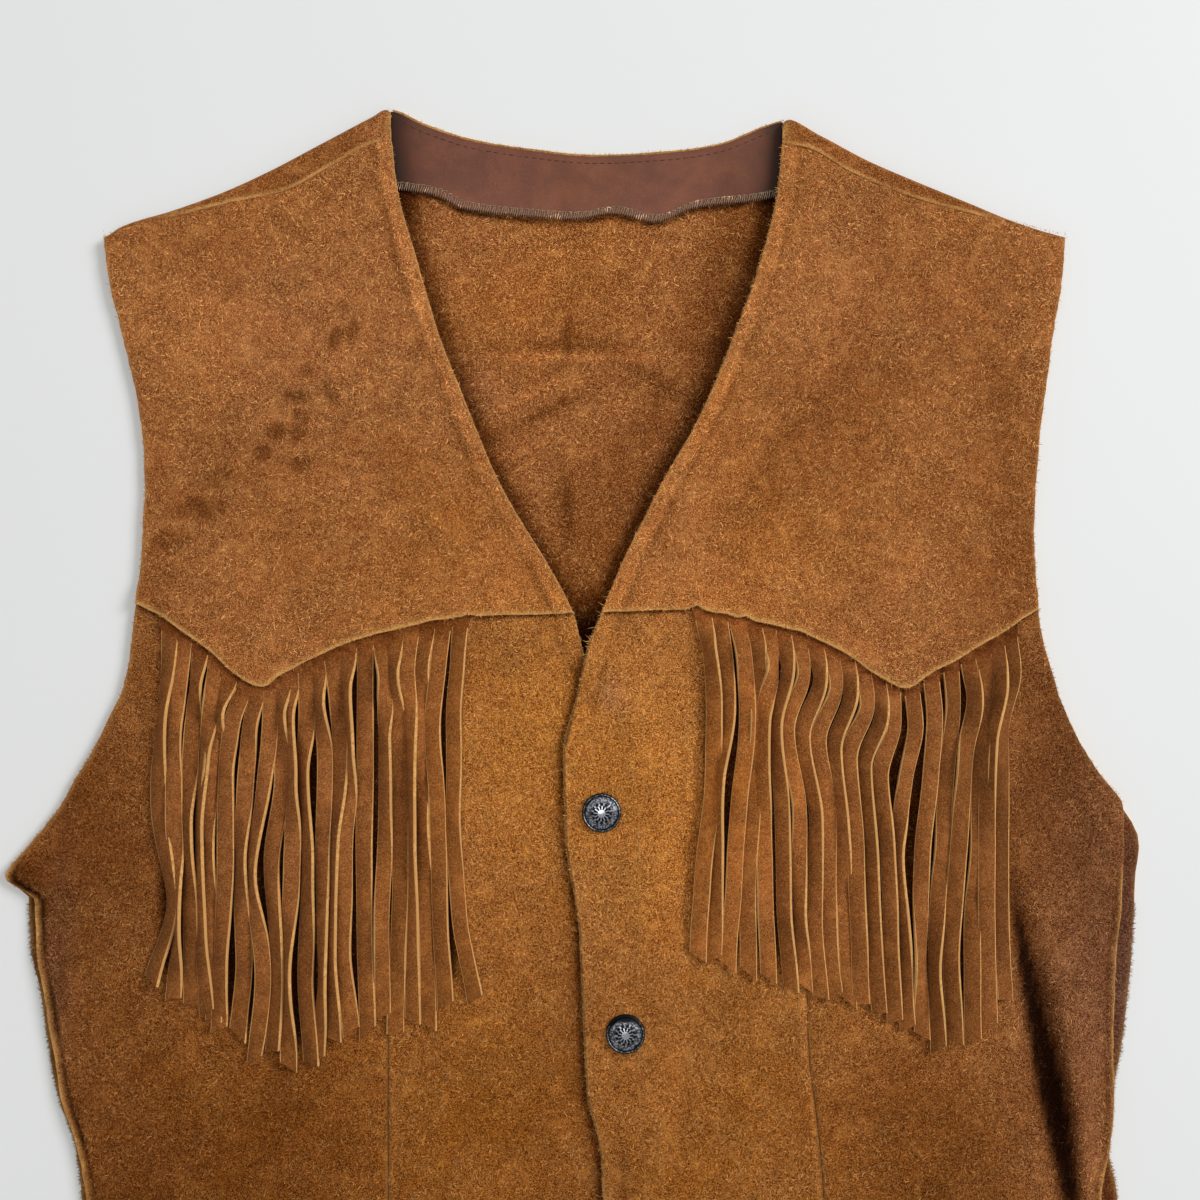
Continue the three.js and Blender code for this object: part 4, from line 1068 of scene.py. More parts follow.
def fringe(name, strands, under, mats, seed):
    """All the strands of one side, as one mesh."""
    rng = np.random.default_rng(seed)
    points, faces, slots, wears, lights = [], [], [], [], []
    total = 0
    rows = [dict(zip(strands, row)) for row in zip(*strands.values())]
    for strand in rows:
        p, f, s, w, edges = rolled_strand(strand, under, rng)
        GRIDS["strands"] += edges
        faces += [tuple(i + total for i in face) for face in f]
        total += len(p)
        points.append(p)
        slots += s
        wears.append(w)
        # Painted shade: strands that lie lower than their neighbours are darker
        lights.append(np.full(len(p), 0.78 + 0.12 * strand["over"] + rng.uniform(-0.08, 0.1)))
    points = np.concatenate(points)
    hang = np.clip((yoke_line(points[:, 0]) - points[:, 1]) / 150, 0, 1)
    # Painted shadow on the strands' roots, under the yoke's lip
    root = 1 - 0.6 * groove(lip_line(points[:, 0]) - points[:, 1] - 0.3, 1.3)
    shade = np.concatenate(lights) * root + 0.1 * hang + 0.1 * ripple(points[:, 0] * 2, points[:, 1], 8, 56)
    attributes = {
        "tone": tone_at(FRONT_PATCHES, points[:, 0], points[:, 1], shade), "wear": np.concatenate(wears),
    }
    piece = new_mesh(name, points, faces, mats, attributes, slots)
    face_outwards(piece)
    bpy.ops.object.shade_smooth_by_angle(angle=math.radians(60))
    return piece


def fibres(name, x, y, z, heading, tone, material, rng, length, width, lift):
    """Loose fibres that start at places in millimetres: each a curved sliver of two faces."""
    count = len(x)
    length = length * rng.uniform(0.35, 1.25, count)
    width = width * rng.uniform(0.6, 1.3, count)
    bend = rng.normal(0, 0.9, count)
    points = []
    px, py, angle = x, y, heading
    for k, height in enumerate((0.02, 0.5, 1.0)):
        level = z + height * lift * rng.uniform(0.2, 1.6, count)
        half = width / 2
        if k < 2:
            shift_x, shift_y = np.sin(angle) * half, -np.cos(angle) * half
            points.append(np.stack([px + shift_x, py + shift_y, level], axis=1))
            points.append(np.stack([px - shift_x, py - shift_y, level], axis=1))
        else:
            points.append(np.stack([px, py, level], axis=1))
        angle = angle + bend * 0.5
        px = px + np.cos(angle) * length / 2
        py = py + np.sin(angle) * length / 2
    points = np.stack(points, axis=1).reshape(-1, 3)
    first = np.arange(count) * 5
    quads = np.stack([first, first + 2, first + 3, first + 1], axis=1).tolist()
    tips = np.stack([first + 2, first + 4, first + 3], axis=1).tolist()
    attributes = {
        "share": np.repeat(rng.uniform(0, 1, count), 5),
        "tone": np.repeat(mix(tone, tone[:, :3].mean(axis=1)[:, None], 0.5), 5, axis=0),
    }
    return new_mesh(name, points, quads + tips, [material], attributes)


def inside_panel(rng, grid, count):
    """Random places on a panel, even over its area."""
    x, y = grid
    cells = (x[1:, 1:] - x[1:, :-1]) * (y[1:, 1:] - y[:-1, 1:])
    share = np.cumsum(np.abs(cells).ravel())
    chosen = np.searchsorted(share, rng.uniform(0, share[-1], count))
    r, c = np.divmod(np.minimum(chosen, cells.size - 1), cells.shape[1])
    tr, tc = rng.uniform(0, 1, count), rng.uniform(0, 1, count)
    out = []
    for field in (x, y):
        low = mix(field[r, c], field[r, c + 1], tc)
        high = mix(field[r + 1, c], field[r + 1, c + 1], tc)
        out.append(mix(low, high, tr))
    return out


# What the operators leave for the nap: the grids of the panels and the edges of the strands
GRIDS = {}


def nap(name, grid, top, area_cm2, seed, slot, shade, density=1.0, patches=FRONT_PATCHES):
    """Loose fibres all over a panel."""
    rng = np.random.default_rng(seed)
    per_cm2 = bpy.context.scene.vest_sizes.nap_count
    count = int(per_cm2 * area_cm2 * density * (1))
    x, y = inside_panel(rng, grid, int(count * 1.6))
    clumps = ripple(x, y, 7, seed) + 0.7 * ripple(x, y, 24, seed + 1) + rng.uniform(-0.8, 0.8, len(x))
    kept = np.argsort(-clumps)[:count]
    x, y = x[kept], y[kept]
    heading = rng.uniform(0, 2 * math.pi, count)
    tone = tone_at(patches, x, y, 1.15 * shade(x, y))
    # Fibres that stand up catch more light than the cloth below them
    tone[:, :3] = 0.5 * (2 * tone[:, :3]) ** 0.7
    piece = fibres(
        name, x, y, top(x, y), heading, tone, materials()["nap_pale"], rng, length=measure("nap_length"),
        width=0.22, lift=0.4,
    )
    belong(piece, slot)


def fuzz(name, lines, seed, slot, per_mm=2.6, length=1.1, light=1.0, width=0.15):
    """Fibres that stand out from cut edges. A line is its x, y, z and the way out of the cloth."""
    rng = np.random.default_rng(seed)
    parts = []
    for x, y, z, out in lines:
        step = np.hypot(np.diff(x), np.diff(y))
        run = np.concatenate([[0], np.cumsum(step)])
        count = int(run[-1] * per_mm * (1))
        at = rng.uniform(0, run[-1], count)
        back = rng.uniform(0, 0.8, count)
        way = np.interp(at, run, out) + rng.normal(0, 0.75, count)
        px, py = np.interp(at, run, x) - np.cos(way) * back, np.interp(at, run, y) - np.sin(way) * back
        parts.append((px, py, np.interp(at, run, z) + rng.uniform(-0.9, 0.1, count), way))
    x, y, z, way = (np.concatenate(values) for values in zip(*parts))
    tone = tone_at(FRONT_PATCHES, x, y, light)
    piece = fibres(name, x, y, z, way, tone, materials()["nap_edge"], rng, length, width, lift=0.25)
    belong(piece, slot)


class VestStep(Operator):
    """What the vest's operators share."""

    bl_options = {"REGISTER", "UNDO"}


class VEST_OT_back(VestStep):
    """Lays out the back, with the folds that come over the shoulders"""

    bl_idname = "vest.back"
    bl_label = "Back"

    def execute(self, context):
        mats = materials()
        suede_mats = [mats["suede_back"], mats["cut_edge"]]
        grid = back_grid()
        edges = ((0.5, 1.2, 1), (1.0, 1.5, 0.3), (0.6, 1.4, 1), (0.35, 1.0, 0.6))
        piece = cloth(
            "back", grid, back_under, suede_mats, BACK_PATCHES, edges, 61, back_relief, shade=neck_shade,
        )
        front_mats = [mats["suede_front"], mats["cut_edge"]]
        folds = [
            shoulder_fold("fold_left", NECK_LEFT_X, -195, front_mats),
            shoulder_fold("fold_right", 205, NECK_RIGHT_X, front_mats),
        ]
        activate(piece)
        for fold in folds:
            fold.select_set(True)
        bpy.ops.object.join()
        finish_sheet(piece, "back_panel", "back_suede")
        GRIDS["back"] = grid
        return {"FINISHED"}


class VEST_OT_facing(VestStep):
    """Adds the facing of the back neck with its overlocked edge and topstitching"""

    bl_idname = "vest.facing"
    bl_label = "Neck facing"

    def execute(self, context):
        mats = materials()
        suede = measure("suede")
        rest = suede + CLEARANCE

        def low(x):
            return smooth_read(FACING_EDGE, "x", "y", x)

        def high(x):
            return smooth_read(BACK_TOP, "x", "y", x) - 1.1

        def under(x, y):
            down = smooth((y - low(x)) / 5)
            wave = 0.08 * ripple(x, y, 7, 72) + 0.15 * ripple(x, y, 22, 74)
            return rest + 0.5 * (1 - down) * (0.6 + 0.6 * ripple(x, 0 * x, 9, 71)) + wave

        left, right = NECK_LEFT_X - 0.6, NECK_RIGHT_X + 0.6
        grid = panel_grid(
            low, high, lambda y: 0 * y + left, lambda y: 0 * y + right, (0, 0, 0, 0), wide=166, tall=34,
        )
        edges = ((0.35, 2.4, 0.6), (0.6, 1.2, 0.4), (0, 1, 0), (0, 1, 0))
        hide = [mats["smooth_hide"], mats["smooth_hide"]]
        piece = cloth(
            "neck_facing", grid, under, hide, BACK_PATCHES, edges, 73,
            thickness=FACING_THICKNESS, shade=neck_shade,
        )
        finish_sheet(piece, "back_neck_facing", "facing_leather")

        def top(x, y):
            return under(x, y) + FACING_THICKNESS

        threads = (
            stitches_overlock("facing_overlock", low, top, -76, 87.5, mats["overlock_thread"]),
            stitches_run("facing_topstitch", lambda x: high(x) - 3.0, top, -72, 84, mats["seam_thread"]),
        )
        for thread in threads:
            belong(thread, "facing_leather")
        return {"FINISHED"}


def thread_tubes(name, paths, material, radius):
    """Short pieces of thread along paths of points, each a closed tube of five sides."""
    points, faces = [], []
    sides = 5
    total = 0
    for path in paths:
        path = np.asarray(path, float)
        ahead = np.gradient(path, axis=0)
        ahead /= np.linalg.norm(ahead, axis=1)[:, None]
        up = np.array([0.0, 0.0, 1.0])
        side = np.cross(ahead, up)
        size = np.linalg.norm(side, axis=1)[:, None]
        side = np.where(size < 1e-6, np.array([1.0, 0.0, 0.0]), side / np.maximum(size, 1e-6))
        rise = np.cross(side, ahead)
        for k in range(sides):
            angle = 2 * math.pi * k / sides
            points.append(path + radius * (math.cos(angle) * side + math.sin(angle) * rise))
        count = len(path)
        for k in range(sides):
            a0, b0 = total + k * count, total + (k + 1) % sides * count
            for s in range(count - 1):
                faces.append((a0 + s, a0 + s + 1, b0 + s + 1, b0 + s))
        faces.append(tuple(total + k * count for k in range(sides)))
        faces.append(tuple(total + k * count + count - 1 for k in reversed(range(sides))))
        total += sides * count
    piece = new_mesh(name, np.concatenate(points), faces, [material])
    face_outwards(piece)
    bpy.ops.object.shade_smooth()
    return piece


def stitches_overlock(name, line, top, from_x, to_x, material):
    """Overlock stitches round a lower edge: slanting loops that wrap over it."""
    rng = np.random.default_rng(81)
    paths = []
    for x in np.arange(from_x, to_x, 0.95):
        slant = rng.uniform(0.2, 1.0)
        depth = rng.uniform(2.2, 3.0)
        edge = line(np.array([x]))[0]
        above = [(x + slant, edge + depth), (x + slant * 0.6, edge + depth * 0.5), (x, edge + 0.1)]
        over = [(px, py, float(top(np.array([px]), np.array([py]))[0]) + 0.12) for px, py in above]
        paths.append(over + [(x - 0.1, edge - 0.55, over[-1][2] - 0.5)])
    for x in np.arange(from_x, to_x, 2.3):
        edge = line(np.array([x]))[0] + 2.6
        xs = np.linspace(x, x + 2.1, 4)
        ys = edge + rng.uniform(-0.2, 0.2, 4)
        zs = top(xs, ys) + np.array([0.05, 0.2, 0.2, 0.05])
        paths.append(np.stack([xs, ys, zs], axis=1))
    return thread_tubes(name, paths, material, radius=0.16)


def stitches_run(name, line, top, from_x, to_x, material, pitch=3.2):
    """A row of plain stitches along a line."""
    paths = []
    for x in np.arange(from_x, to_x, pitch):
        xs = np.linspace(x, x + pitch * 0.72, 4)
        ys = line(xs)
        zs = top(xs, ys) + np.array([-0.1, 0.1, 0.1, -0.1])
        paths.append(np.stack([xs, ys, zs], axis=1))
    return thread_tubes(name, paths, material, radius=0.17)


class VEST_OT_yokes(VestStep):
    """Lays the front yokes over the shoulders' seams and the roots of the fringe"""

    bl_idname = "vest.yokes"
    bl_label = "Front yokes"

    def execute(self, context):
        mats = materials()
        suede_mats = [mats["suede_front"], mats["cut_edge"]]
        for side in ("left", "right"):
            is_left = side == "left"
            outer = side_line("front_left" if is_left else "front_right")
            inner = edge_line(side)
            low = (YOKE_OUTER_Y, YOKE_INNER_Y)
            high = (SHOULDER_TIP_Y, NECK_SEAM_Y)
            corners = (*low, *high) if is_left else (*reversed(low), *reversed(high))
            left, right = (outer, inner) if is_left else (inner, outer)
            grid = panel_grid(lip_line, shoulder_line, left, right, corners, wide=160, tall=195, fine=0.75)
            v_edge, arm = (0.35, 1.4, 0.35), (0.5, 0.9, 1.0)
            edges = ((1.6, 1.25, 0.7), (0, 1, 0), arm if is_left else v_edge, v_edge if is_left else arm)
            piece = cloth(
                f"yoke_{side}", grid, yoke_under, suede_mats, FRONT_PATCHES, edges, 91 if is_left else 95,
                turned_edge, shade=crease_shade_and_edge_highlight,
            )
            finish_sheet(
                piece, f"front_yoke_{side}", "yoke_suede",
            )
            GRIDS[f"yoke_{side}"] = grid
        return {"FINISHED"}


def seam_dip(x, y):
    """The cloth dips into the upright seams of the fronts."""
    left = np.abs(x - read(FRONT_SEAMS, "y", "left", y))
    right = np.abs(x - read(FRONT_SEAMS, "y", "right", y))
    near = np.minimum(left, right)
    pucker = 0.1 * ripple(x * 0.5, y, 4, 101) * groove(near, 6)
    return -0.5 * groove(near, 0.9) + 0.15 * groove(near - 3.5, 2.5) + pucker


def lower_relief(x, y):
    """Seams, the turned front edges and the raw strip of the side seam."""
    inward = edge_inward(x, y)
    bead = 0.35 * groove(inward - 2.5, 3.0) - 0.3 * groove(inward - 9, 1.2)
    side = np.minimum(x - side_line("front_left")(y), side_line("front_right")(y) - x)
    strip = 0.6 * groove(side - 0.8, 1.1) - 0.9 * groove(side - 2.8, 1.0)
    strip = strip * np.where(x < 0, 1, 0.4)
    return seam_dip(x, y) + bead * smooth((90 - y) / 20) + strip * smooth((RAW_TOP_Y - y) / 10)


def lower_shade(x, y):
    """Painted shade and highlight of the lower fronts at seams, creases, the fringe, the lap and the lips."""
    left = x - read(FRONT_SEAMS, "y", "left", y)
    right = x - read(FRONT_SEAMS, "y", "right", y)
    seams = 0.5 * groove(left, 0.7) + 0.5 * groove(right, 0.7)
    # Painted highlight on the cloth just beside each seam
    pale = 0.22 * (groove(left - 1.8, 1.0) + groove(right + 1.8, 1.0))
    # Painted shadow of the right front's lapped edge, on the left front beside it
    lap = np.clip(read(FRONT_EDGES, "y", "right", y) - x, -4, 40)
    lap_shadow = 0.85 * np.exp(-np.maximum(lap, 0) / 3.2) * (lap > -0.6) * smooth((74 - y) / 10)
    # Painted shadow under the yokes' lips
    lip = 0.62 * groove(lip_line(x) - y - 0.3, 1.1)
    # The allowance of the left side's seam shows through as a line
    line = 0.16 * groove(x + 217.6 + 0.095 * (y + 6.5), 0.6) * smooth((30 - y) / 12) * smooth((y + 190) / 60)
    # Painted shade of the creases and under the fringe
    crease_and_fringe_shade = crease_shade_and_edge_highlight(x, y) * fringe_shadow(x, y)
    return 0.84 * crease_and_fringe_shade * (1 - seams + pale) * (1 - lap_shadow) * (1 - lip) * (1 + line)


def raw_side(x, y):
    """How raw the sides' edges are: the armholes are turned, and below them the cut shows."""
    return 0.3 + 0.7 * smooth((RAW_TOP_Y - y) / 8)


class VEST_OT_lower_fronts(VestStep):
    """Lays the centre and side fronts, the right over the left"""

    bl_idname = "vest.lower_fronts"
    bl_label = "Lower fronts"

    def execute(self, context):
        mats = materials()
        suede_mats = [mats["suede_lower"], mats["cut_edge"]]
        gap = 0.03
        seam_left, seam_right = seam_corner(-79), seam_corner(97)
        seam, front_edge = (0.3, 0.8, 0), (0.4, 1.5, 0.5)
        left_raw, right_raw = (1.3, 1.2, 1.2), (1.0, 0.9, 0.8)
        plans = (
            ("side_left", side_line("front_left"), seam_line("left", -gap), front_under, 145,
             (seam_corner(-185), seam_left), (left_raw, seam), (0.161, 0.377), 0.0470),
            ("center_left", seam_line("left", gap), edge_line("left"), front_under, 100,
             (seam_left, seam_corner(0)), (seam, front_edge), (0.113, 0.372), 0.0370),
            ("center_right", edge_line("right"), seam_line("right", -gap), lap_under, 100,
             (seam_corner(12), seam_right), (front_edge, seam), (0.112, 0.373), 0.0350),
            ("side_right", seam_line("right", gap), side_line("front_right"), front_under, 128,
             (seam_right, seam_corner(196)), (seam, right_raw), (0.136, 0.375), 0.0430),
        )
        for i, (name, left, right, under, wide, tops, wears, flat, area) in enumerate(plans):
            grid = panel_grid(
                lambda x: 0 * x + HEM_Y, lambda x: yoke_line(x) + LIP_TUCK, left, right,
                (HEM_Y, HEM_Y, *tops), wide, tall=370,
            )
            edges = ((0.7, 1.2, 1), (0, 1, 0), *wears)
            piece = cloth(
                f"lower_front_{name}", grid, under, suede_mats, FRONT_PATCHES, edges, 103 + 3 * i,
                lower_relief, shade=lower_shade, raw=raw_side if name.startswith("side") else None,
            )
            slot = "side_suede" if name.startswith("side") else "front_suede"
            finish_sheet(piece, f"front_{name}", slot)
            GRIDS[name] = grid
        return {"FINISHED"}


class VEST_OT_fringe(VestStep):
    """Hangs the strands of fringe from the yokes' seams"""

    bl_idname = "vest.fringe"
    bl_label = "Fringe"

    def execute(self, context):
        GRIDS["strands"] = []
        mats = [materials()[name] for name in ("suede_fringe", "cut_edge")]
        # The cut of each side: its strands side by side, and the longest of them
        plans = (
            ("left", LEFT_STRANDS, front_under, (0.145, 0.17), 0.0233),
            ("right", RIGHT_STRANDS, lap_under, (0.138, 0.168), 0.021),
        )
        for i, (side, strands, under, flat, area) in enumerate(plans):
            piece = fringe(f"fringe_strands_{side}", strands, under, mats, 121 + i)
            finish_sheet(piece, f"fringe_{side}", "fringe_suede")
        return {"FINISHED"}


def edit_faces(piece, inner, outer, chosen, thickness, depth):
    """Insets the faces of a cap's ring whose turn is chosen, together, and sinks them."""
    mesh = piece.data
    for part in (mesh.vertices, mesh.edges, mesh.polygons):
        for item in part:
            item.select = False
    for face in mesh.polygons:
        x, y, _ = face.center
        if inner < math.hypot(x, y) < outer and face.normal.z > 0.05:
            face.select = chosen(math.degrees(math.atan2(y, x)) % 360)
    bpy.ops.object.mode_set(mode="EDIT")
    bpy.ops.mesh.inset(thickness=thickness, depth=depth, use_individual=False)
    bpy.ops.object.mode_set(mode="OBJECT")


def snap_cap(name):
    """A domed cap at the origin with a rolled rim, a star of petals and rings of sunk work."""
    radius = bpy.context.scene.vest_sizes.cap_diameter / 2
    spokes, foot = 72, 0.94
    bpy.ops.object.select_all(action="DESELECT")
    bpy.ops.mesh.primitive_circle_add(
        vertices=spokes, radius=radius * foot, fill_type="NGON", location=(0, 0, 0),
    )
    piece = bpy.context.active_object
    piece.name = name
    bpy.ops.object.mode_set(mode="EDIT")
    bpy.ops.mesh.select_all(action="SELECT")
    bpy.ops.mesh.extrude_region_move(TRANSFORM_OT_translate={"value": (0, 0, 0.0004)})
    bpy.ops.transform.resize(value=(1 / foot, 1 / foot, 1))
    bpy.ops.mesh.extrude_region_move(TRANSFORM_OT_translate={"value": (0, 0, 0.0006)})
    # Rings of the upper face, each a share of the radius and a height in metres
    rings = (
        (0.97, 0.0013), (0.91, 0.0015), (0.87, 0.0013), (0.80, 0.0017), (0.70, 0.0020), (0.62, 0.0022),
        (0.52, 0.0025), (0.40, 0.0028), (0.30, 0.0030), (0.20, 0.0031), (0.10, 0.0032),
    )
    share, height = 1.0, 0.001
    for next_share, next_height in rings:
        bpy.ops.mesh.extrude_region_move(TRANSFORM_OT_translate={"value": (0, 0, next_height - height)})
        scale = next_share / share
        bpy.ops.transform.resize(value=(scale, scale, 1))
        share, height = next_share, next_height
    bpy.ops.object.mode_set(mode="OBJECT")
    face_outwards(piece)

    def every(count, share_on, turn=0.0):
        pitch = 360 / count
        return lambda angle: ((angle + turn) % pitch) / pitch < share_on

    # Rings of sunk work: from and to, as shares of the radius, the cells, and their inset and depth
    for inner, outer, cells, inset, depth in (
        (0.20, 0.40, every(12, 0.67), 0.00003, 0.0003),
        (0.41, 0.61, every(12, 0.67, 10), 0.00008, 0.00034),
        (0.62, 0.79, every(24, 0.67), 0.00006, 0.0003),
        (0.80, 0.87, every(1, 1.1), 0.00005, 0.0003),
    ):
        edit_faces(piece, radius * inner, radius * outer, cells, inset, -depth)
    bpy.ops.object.shade_smooth_by_angle(angle=math.radians(40))
    return piece


class VEST_OT_snaps(VestStep):
    """Sets the snaps' caps on the right front's edge"""

    bl_idname = "vest.snaps"
    bl_label = "Snaps"

    def execute(self, context):
        metal = materials()["antique_nickel"]
        master = snap_cap("cap_master")
        for i, (x, y, turn, tilt) in enumerate(zip(*SNAPS.values())):
            node = f"snap_cap_{i + 1}"
            low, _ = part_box(node)
            activate(master)
            bpy.ops.object.duplicate(linked=False)
            piece = context.active_object
            piece.name = f"snap_{i + 1}"
            piece.data.name = piece.name
            for axis, angle in (("Z", math.radians(turn)), ("X", float(tilt))):
                bpy.ops.transform.rotate(value=angle, orient_axis=axis, center_override=(0, 0, 0))
            seat = low.z - 0.00015
            bpy.ops.transform.translate(value=(x * MM, y * MM, seat + abs(tilt) * 0.008))
            bpy.ops.object.transform_apply(location=True, rotation=True, scale=True)
            piece.data.materials.clear()
            piece.data.materials.append(metal)
            mark_hollows(piece.data)
            belong(piece, "snap_metal", node)
        bpy.data.objects.remove(master)
        return {"FINISHED"}


def mark_hollows(mesh):
    """Gives a cap's points a value that is high where its work is sunk."""
    points = np.array([v.co for v in mesh.vertices])
    centre = points.mean(axis=0)
    radius = np.hypot(points[:, 0] - centre[0], points[:, 1] - centre[1])
    height = points[:, 2] - points[:, 2].min()
    sunk = np.zeros(len(points))
    bins = np.round(radius / 0.00035).astype(int)
    for value in np.unique(bins):
        here = bins == value
        sunk[here] = height[here].max() - height[here]
    share = radius / radius.max()
    level = np.clip(sunk / 0.00022, 0, 1)
    # Handling polishes the middle and leaves the rim black
    level = np.maximum(level, smooth((share - 0.79) / 0.06) - 0.12 * groove(share - 0.91, 0.02))
    level = np.maximum(level, 0.86 * smooth((share - 0.3) / 0.3))
    mesh.attributes.new("hollow", "FLOAT", "POINT").data.foreach_set("value", level.astype(np.float32))


class VEST_OT_nap(VestStep):
    """Scatters loose fibres over the suede"""

    bl_idname = "vest.nap"
    bl_label = "Nap"

    def execute(self, context):
        suede = measure("suede")

        def over(under, relief):
            return lambda x, y: under(x, y) + suede + relief(x, y)

        yoke = over(yoke_under, turned_edge)
        lower, lap = over(front_under, lower_relief), over(lap_under, lower_relief)
        # Each panel: its upper face, area in square centimetres, slot, shade and density of fibres
        plans = (
            ("yoke_left", yoke, 282, "yoke_suede", crease_shade_and_edge_highlight, 1),
            ("yoke_right", yoke, 280, "yoke_suede", crease_shade_and_edge_highlight, 1),
            ("side_left", lower, 470, "side_suede", lower_shade, 0.75),
            ("side_right", lower, 430, "side_suede", lower_shade, 0.75),
            ("center_left", lower, 370, "front_suede", lower_shade, 1.2),
            ("center_right", lap, 350, "front_suede", lower_shade, 1.3),
        )
        for i, (name, top, area, slot, shade, density) in enumerate(plans):
            nap(f"nap_{name}", GRIDS[name], top, area, 131 + i, slot, shade, density)
        x, y = GRIDS["back"]
        first = np.searchsorted(y[:, x.shape[1] // 2], 70)
        columns = np.flatnonzero(np.abs(x[first] - V_MIDDLE_X) < 92)
        seen = (x[first:-4, columns], y[first:-4, columns])
        top = over(back_under, back_relief)
        nap("nap_back", seen, top, 380, 137, "back_suede", neck_shade, 0.7, BACK_PATCHES)

        y = np.linspace(HEM_Y, 274, 280)
        left, right = edge_line("left")(y), edge_line("right")(y)
        right_z = np.where(y > YOKE_INNER_Y, yoke_under(right, y), lap_under(right, y))
        lines = [(left, y, yoke_under(left, y) + suede, 0 * y), (right, y, right_z + suede, 0 * y + math.pi)]
        fuzz("fuzz_front_edges", lines, 141, "front_suede", per_mm=3.0, length=1.0)
        y = np.linspace(HEM_Y, 238, 280)
        lines = [
            (x, y, front_under(x, y) + suede, 0 * y + out)
            for x, out in ((side_line("front_left")(y), math.pi), (side_line("front_right")(y), 0.0))
        ]
        x = np.linspace(BACK_TOP["x"][0], BACK_TOP["x"][-1], 200)
        lines.append((x, smooth_read(BACK_TOP, "x", "y", x), 0 * x + 1.6, 0 * x + math.pi / 2))
        fuzz("fuzz_sides", lines, 142, "side_suede", per_mm=2.4, length=1.0, light=0.9)
        y = np.linspace(HEM_Y, -46, 200)
        lines = [
            (side_line(f"back_{side}")(y), y, 0 * y + 1.2, 0 * y + out)
            for side, out in (("left", math.pi), ("right", 0.0))
        ]
        fuzz("fuzz_back", lines, 144, "back_suede", per_mm=7.0, length=1.8, light=0.6, width=0.2)
        y = np.linspace(60, 86, 20)
        x = edge_line("right")(y)
        lines = [(x + 0.5, y, yoke_under(x, y) + 0.8, 0 * y + math.pi)]
        fuzz("fuzz_point", lines, 145, "front_suede", per_mm=0.7, length=3.6, light=1.1, width=0.2)
        lines = GRIDS["strands"]
        fuzz("fuzz_strands", lines, 146, "fringe_suede", per_mm=0.9, length=0.8, light=0.9, width=0.13)
        lines = []
        for line, start, stop, ahead, rise in (
            (lip_line, -184, 0, 0, 0), (lip_line, 13, 195, 0, 0),
            (shoulder_line, -196, NECK_LEFT_X, 0.6, 0.9), (shoulder_line, NECK_RIGHT_X, 205, 0.6, 0.9),
        ):
            x = np.linspace(start, stop, 120)
            y = line(x)
            lines.append((x, y + ahead, yoke_under(x, y) + suede + rise, 0 * x - math.pi / 2))
        fuzz("fuzz_lips", lines, 143, "yoke_suede", per_mm=2.6, length=0.8)
        return {"FINISHED"}


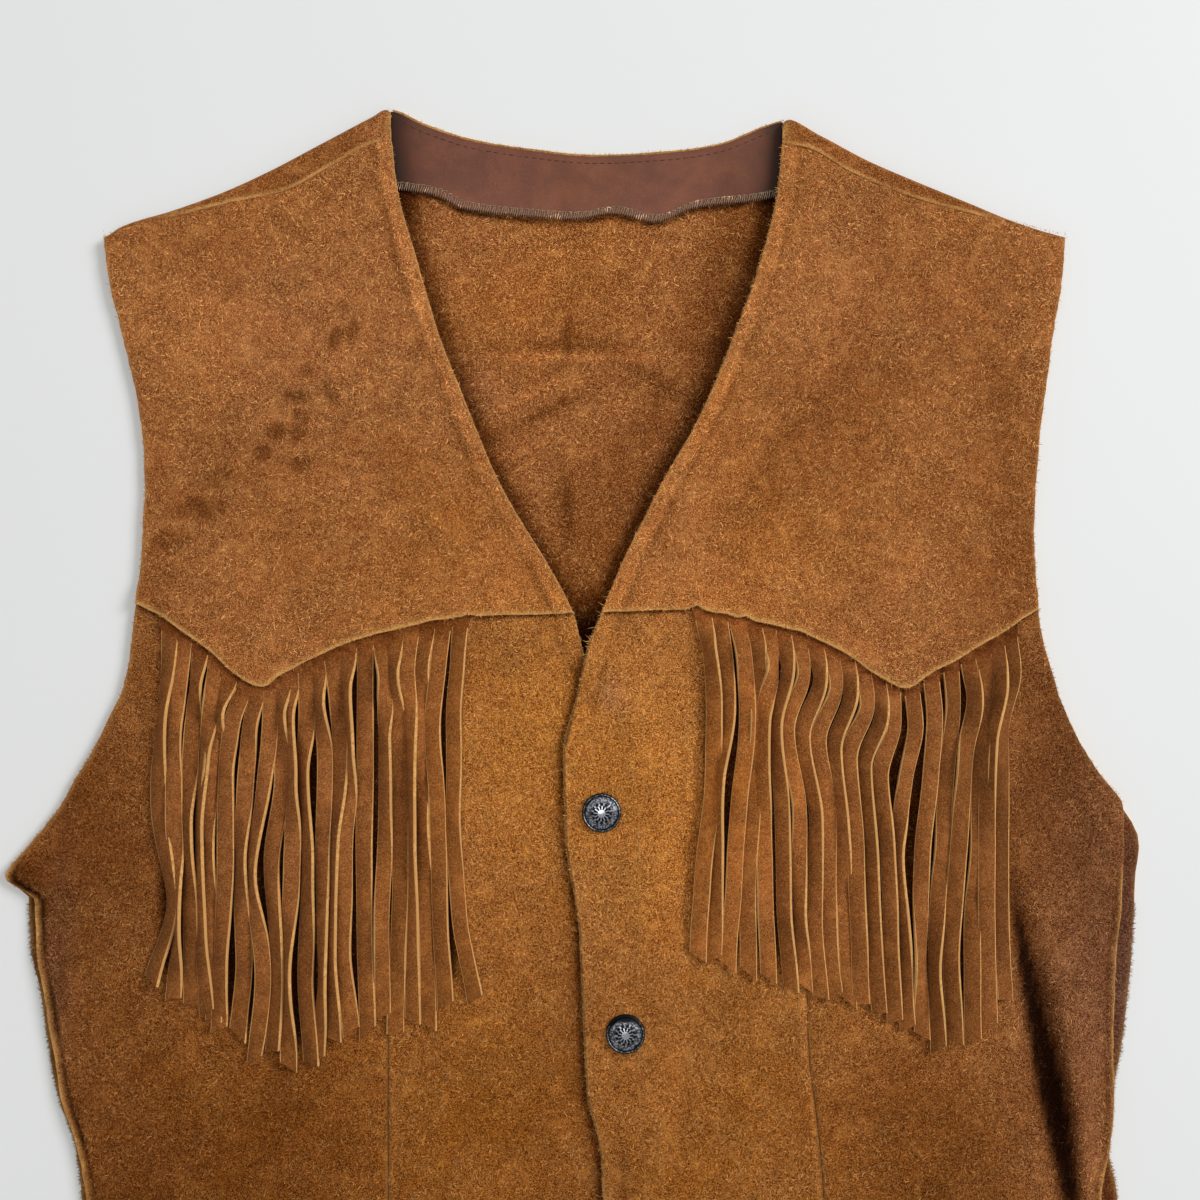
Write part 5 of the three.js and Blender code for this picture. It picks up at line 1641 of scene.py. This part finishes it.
class VEST_OT_stage(VestStep):
    """Sets the pale floor, the soft light and the camera over the vest"""

    bl_idname = "vest.stage"
    bl_label = "Stage"

    def execute(self, context):
        scene = context.scene
        bpy.ops.object.select_all(action="DESELECT")
        bpy.ops.mesh.primitive_plane_add(size=6, location=(0, 0, -FLOOR_DROP * MM))
        floor = context.active_object
        floor.name = "floor"
        paint = Look("floor_paint", Roughness=0.6, Specular_IOR_Level=0.2)
        base = tuple(scene.vest_colours.floor)
        paint.finish(paint.mixed(paint.noise(3, 2), base, scaled(base, 0.97)))
        floor.data.materials.append(bpy.data.materials["floor_paint"])
        scene.world = bpy.data.worlds.new("studio")
        scene.world.use_nodes = True
        sky = scene.world.node_tree.nodes["Background"].inputs
        sky["Color"].default_value = (1.0, 0.99, 0.97, 1)
        sky["Strength"].default_value = 0.42
        # Each light: name, watts, width, place and the point it faces, in metres
        lights = (
            ("window", 86, 1.5, (2.7, 1.4, 1.9), (0.0, 0.05, 0.0)),
            ("ceiling", 11, 1.6, (-0.2, 0.4, 2.4), (0.0, 0.0, 0.0)),
        )
        for name, watts, width, spot, aim in lights:
            bpy.ops.object.light_add(type="AREA", location=spot)
            lamp = context.active_object
            lamp.name = name
            lamp.data.shape = "DISK"
            lamp.data.size = width
            lamp.data.energy = watts
            dx, dy, dz = np.array(aim) - np.array(spot)
            lamp.rotation_euler = (math.atan2(math.hypot(dx, dy), -dz), 0, math.atan2(dy, dx) - math.pi / 2)
        camera_data = bpy.data.cameras.new("photo_camera")
        camera_data.lens = CAMERA_LENS
        camera_data.sensor_width = CAMERA_SENSOR
        camera_data.clip_start = 0.01
        camera = bpy.data.objects.new("photo_camera", camera_data)
        scene.collection.objects.link(camera)
        x, y, z = CAMERA_AIM
        camera.location = (x, y, z + CAMERA_HEIGHT)
        camera.rotation_euler = (0, 0, 0)
        scene.camera = camera
        scene.view_settings.view_transform = "Standard"
        return {"FINISHED"}


STEPS = (
    VEST_OT_back, VEST_OT_facing, VEST_OT_lower_fronts, VEST_OT_yokes, VEST_OT_fringe, VEST_OT_snaps,
    VEST_OT_nap, VEST_OT_stage,
)


class VEST_PT_panel(Panel):
    """Lists the vest's sizes, colours and steps"""

    bl_idname = "VEST_PT_panel"
    bl_label = "Fringe Vest"
    bl_space_type = "VIEW_3D"
    bl_region_type = "UI"
    bl_category = "Fringe Vest"

    def draw(self, context):
        layout = self.layout
        for group in (context.scene.vest_sizes, context.scene.vest_colours):
            column = layout.column()
            for key in group.__annotations__:
                column.prop(group, key)
        for step in STEPS:
            layout.operator(step.bl_idname)


CLASSES = (VestSizes, VestColours, *STEPS, VEST_PT_panel)


def register():
    for cls in CLASSES:
        bpy.utils.register_class(cls)
    bpy.types.Scene.vest_sizes = PointerProperty(type=VestSizes)
    bpy.types.Scene.vest_colours = PointerProperty(type=VestColours)


def unregister():
    del bpy.types.Scene.vest_colours
    del bpy.types.Scene.vest_sizes
    for cls in reversed(CLASSES):
        bpy.utils.unregister_class(cls)


def main():
    register()
    bpy.ops.vest.back()
    bpy.ops.vest.facing()
    bpy.ops.vest.lower_fronts()
    bpy.ops.vest.yokes()
    bpy.ops.vest.fringe()
    bpy.ops.vest.snaps()
    bpy.ops.vest.nap()
    bpy.ops.vest.stage()


if __name__ == "__main__":
    main()
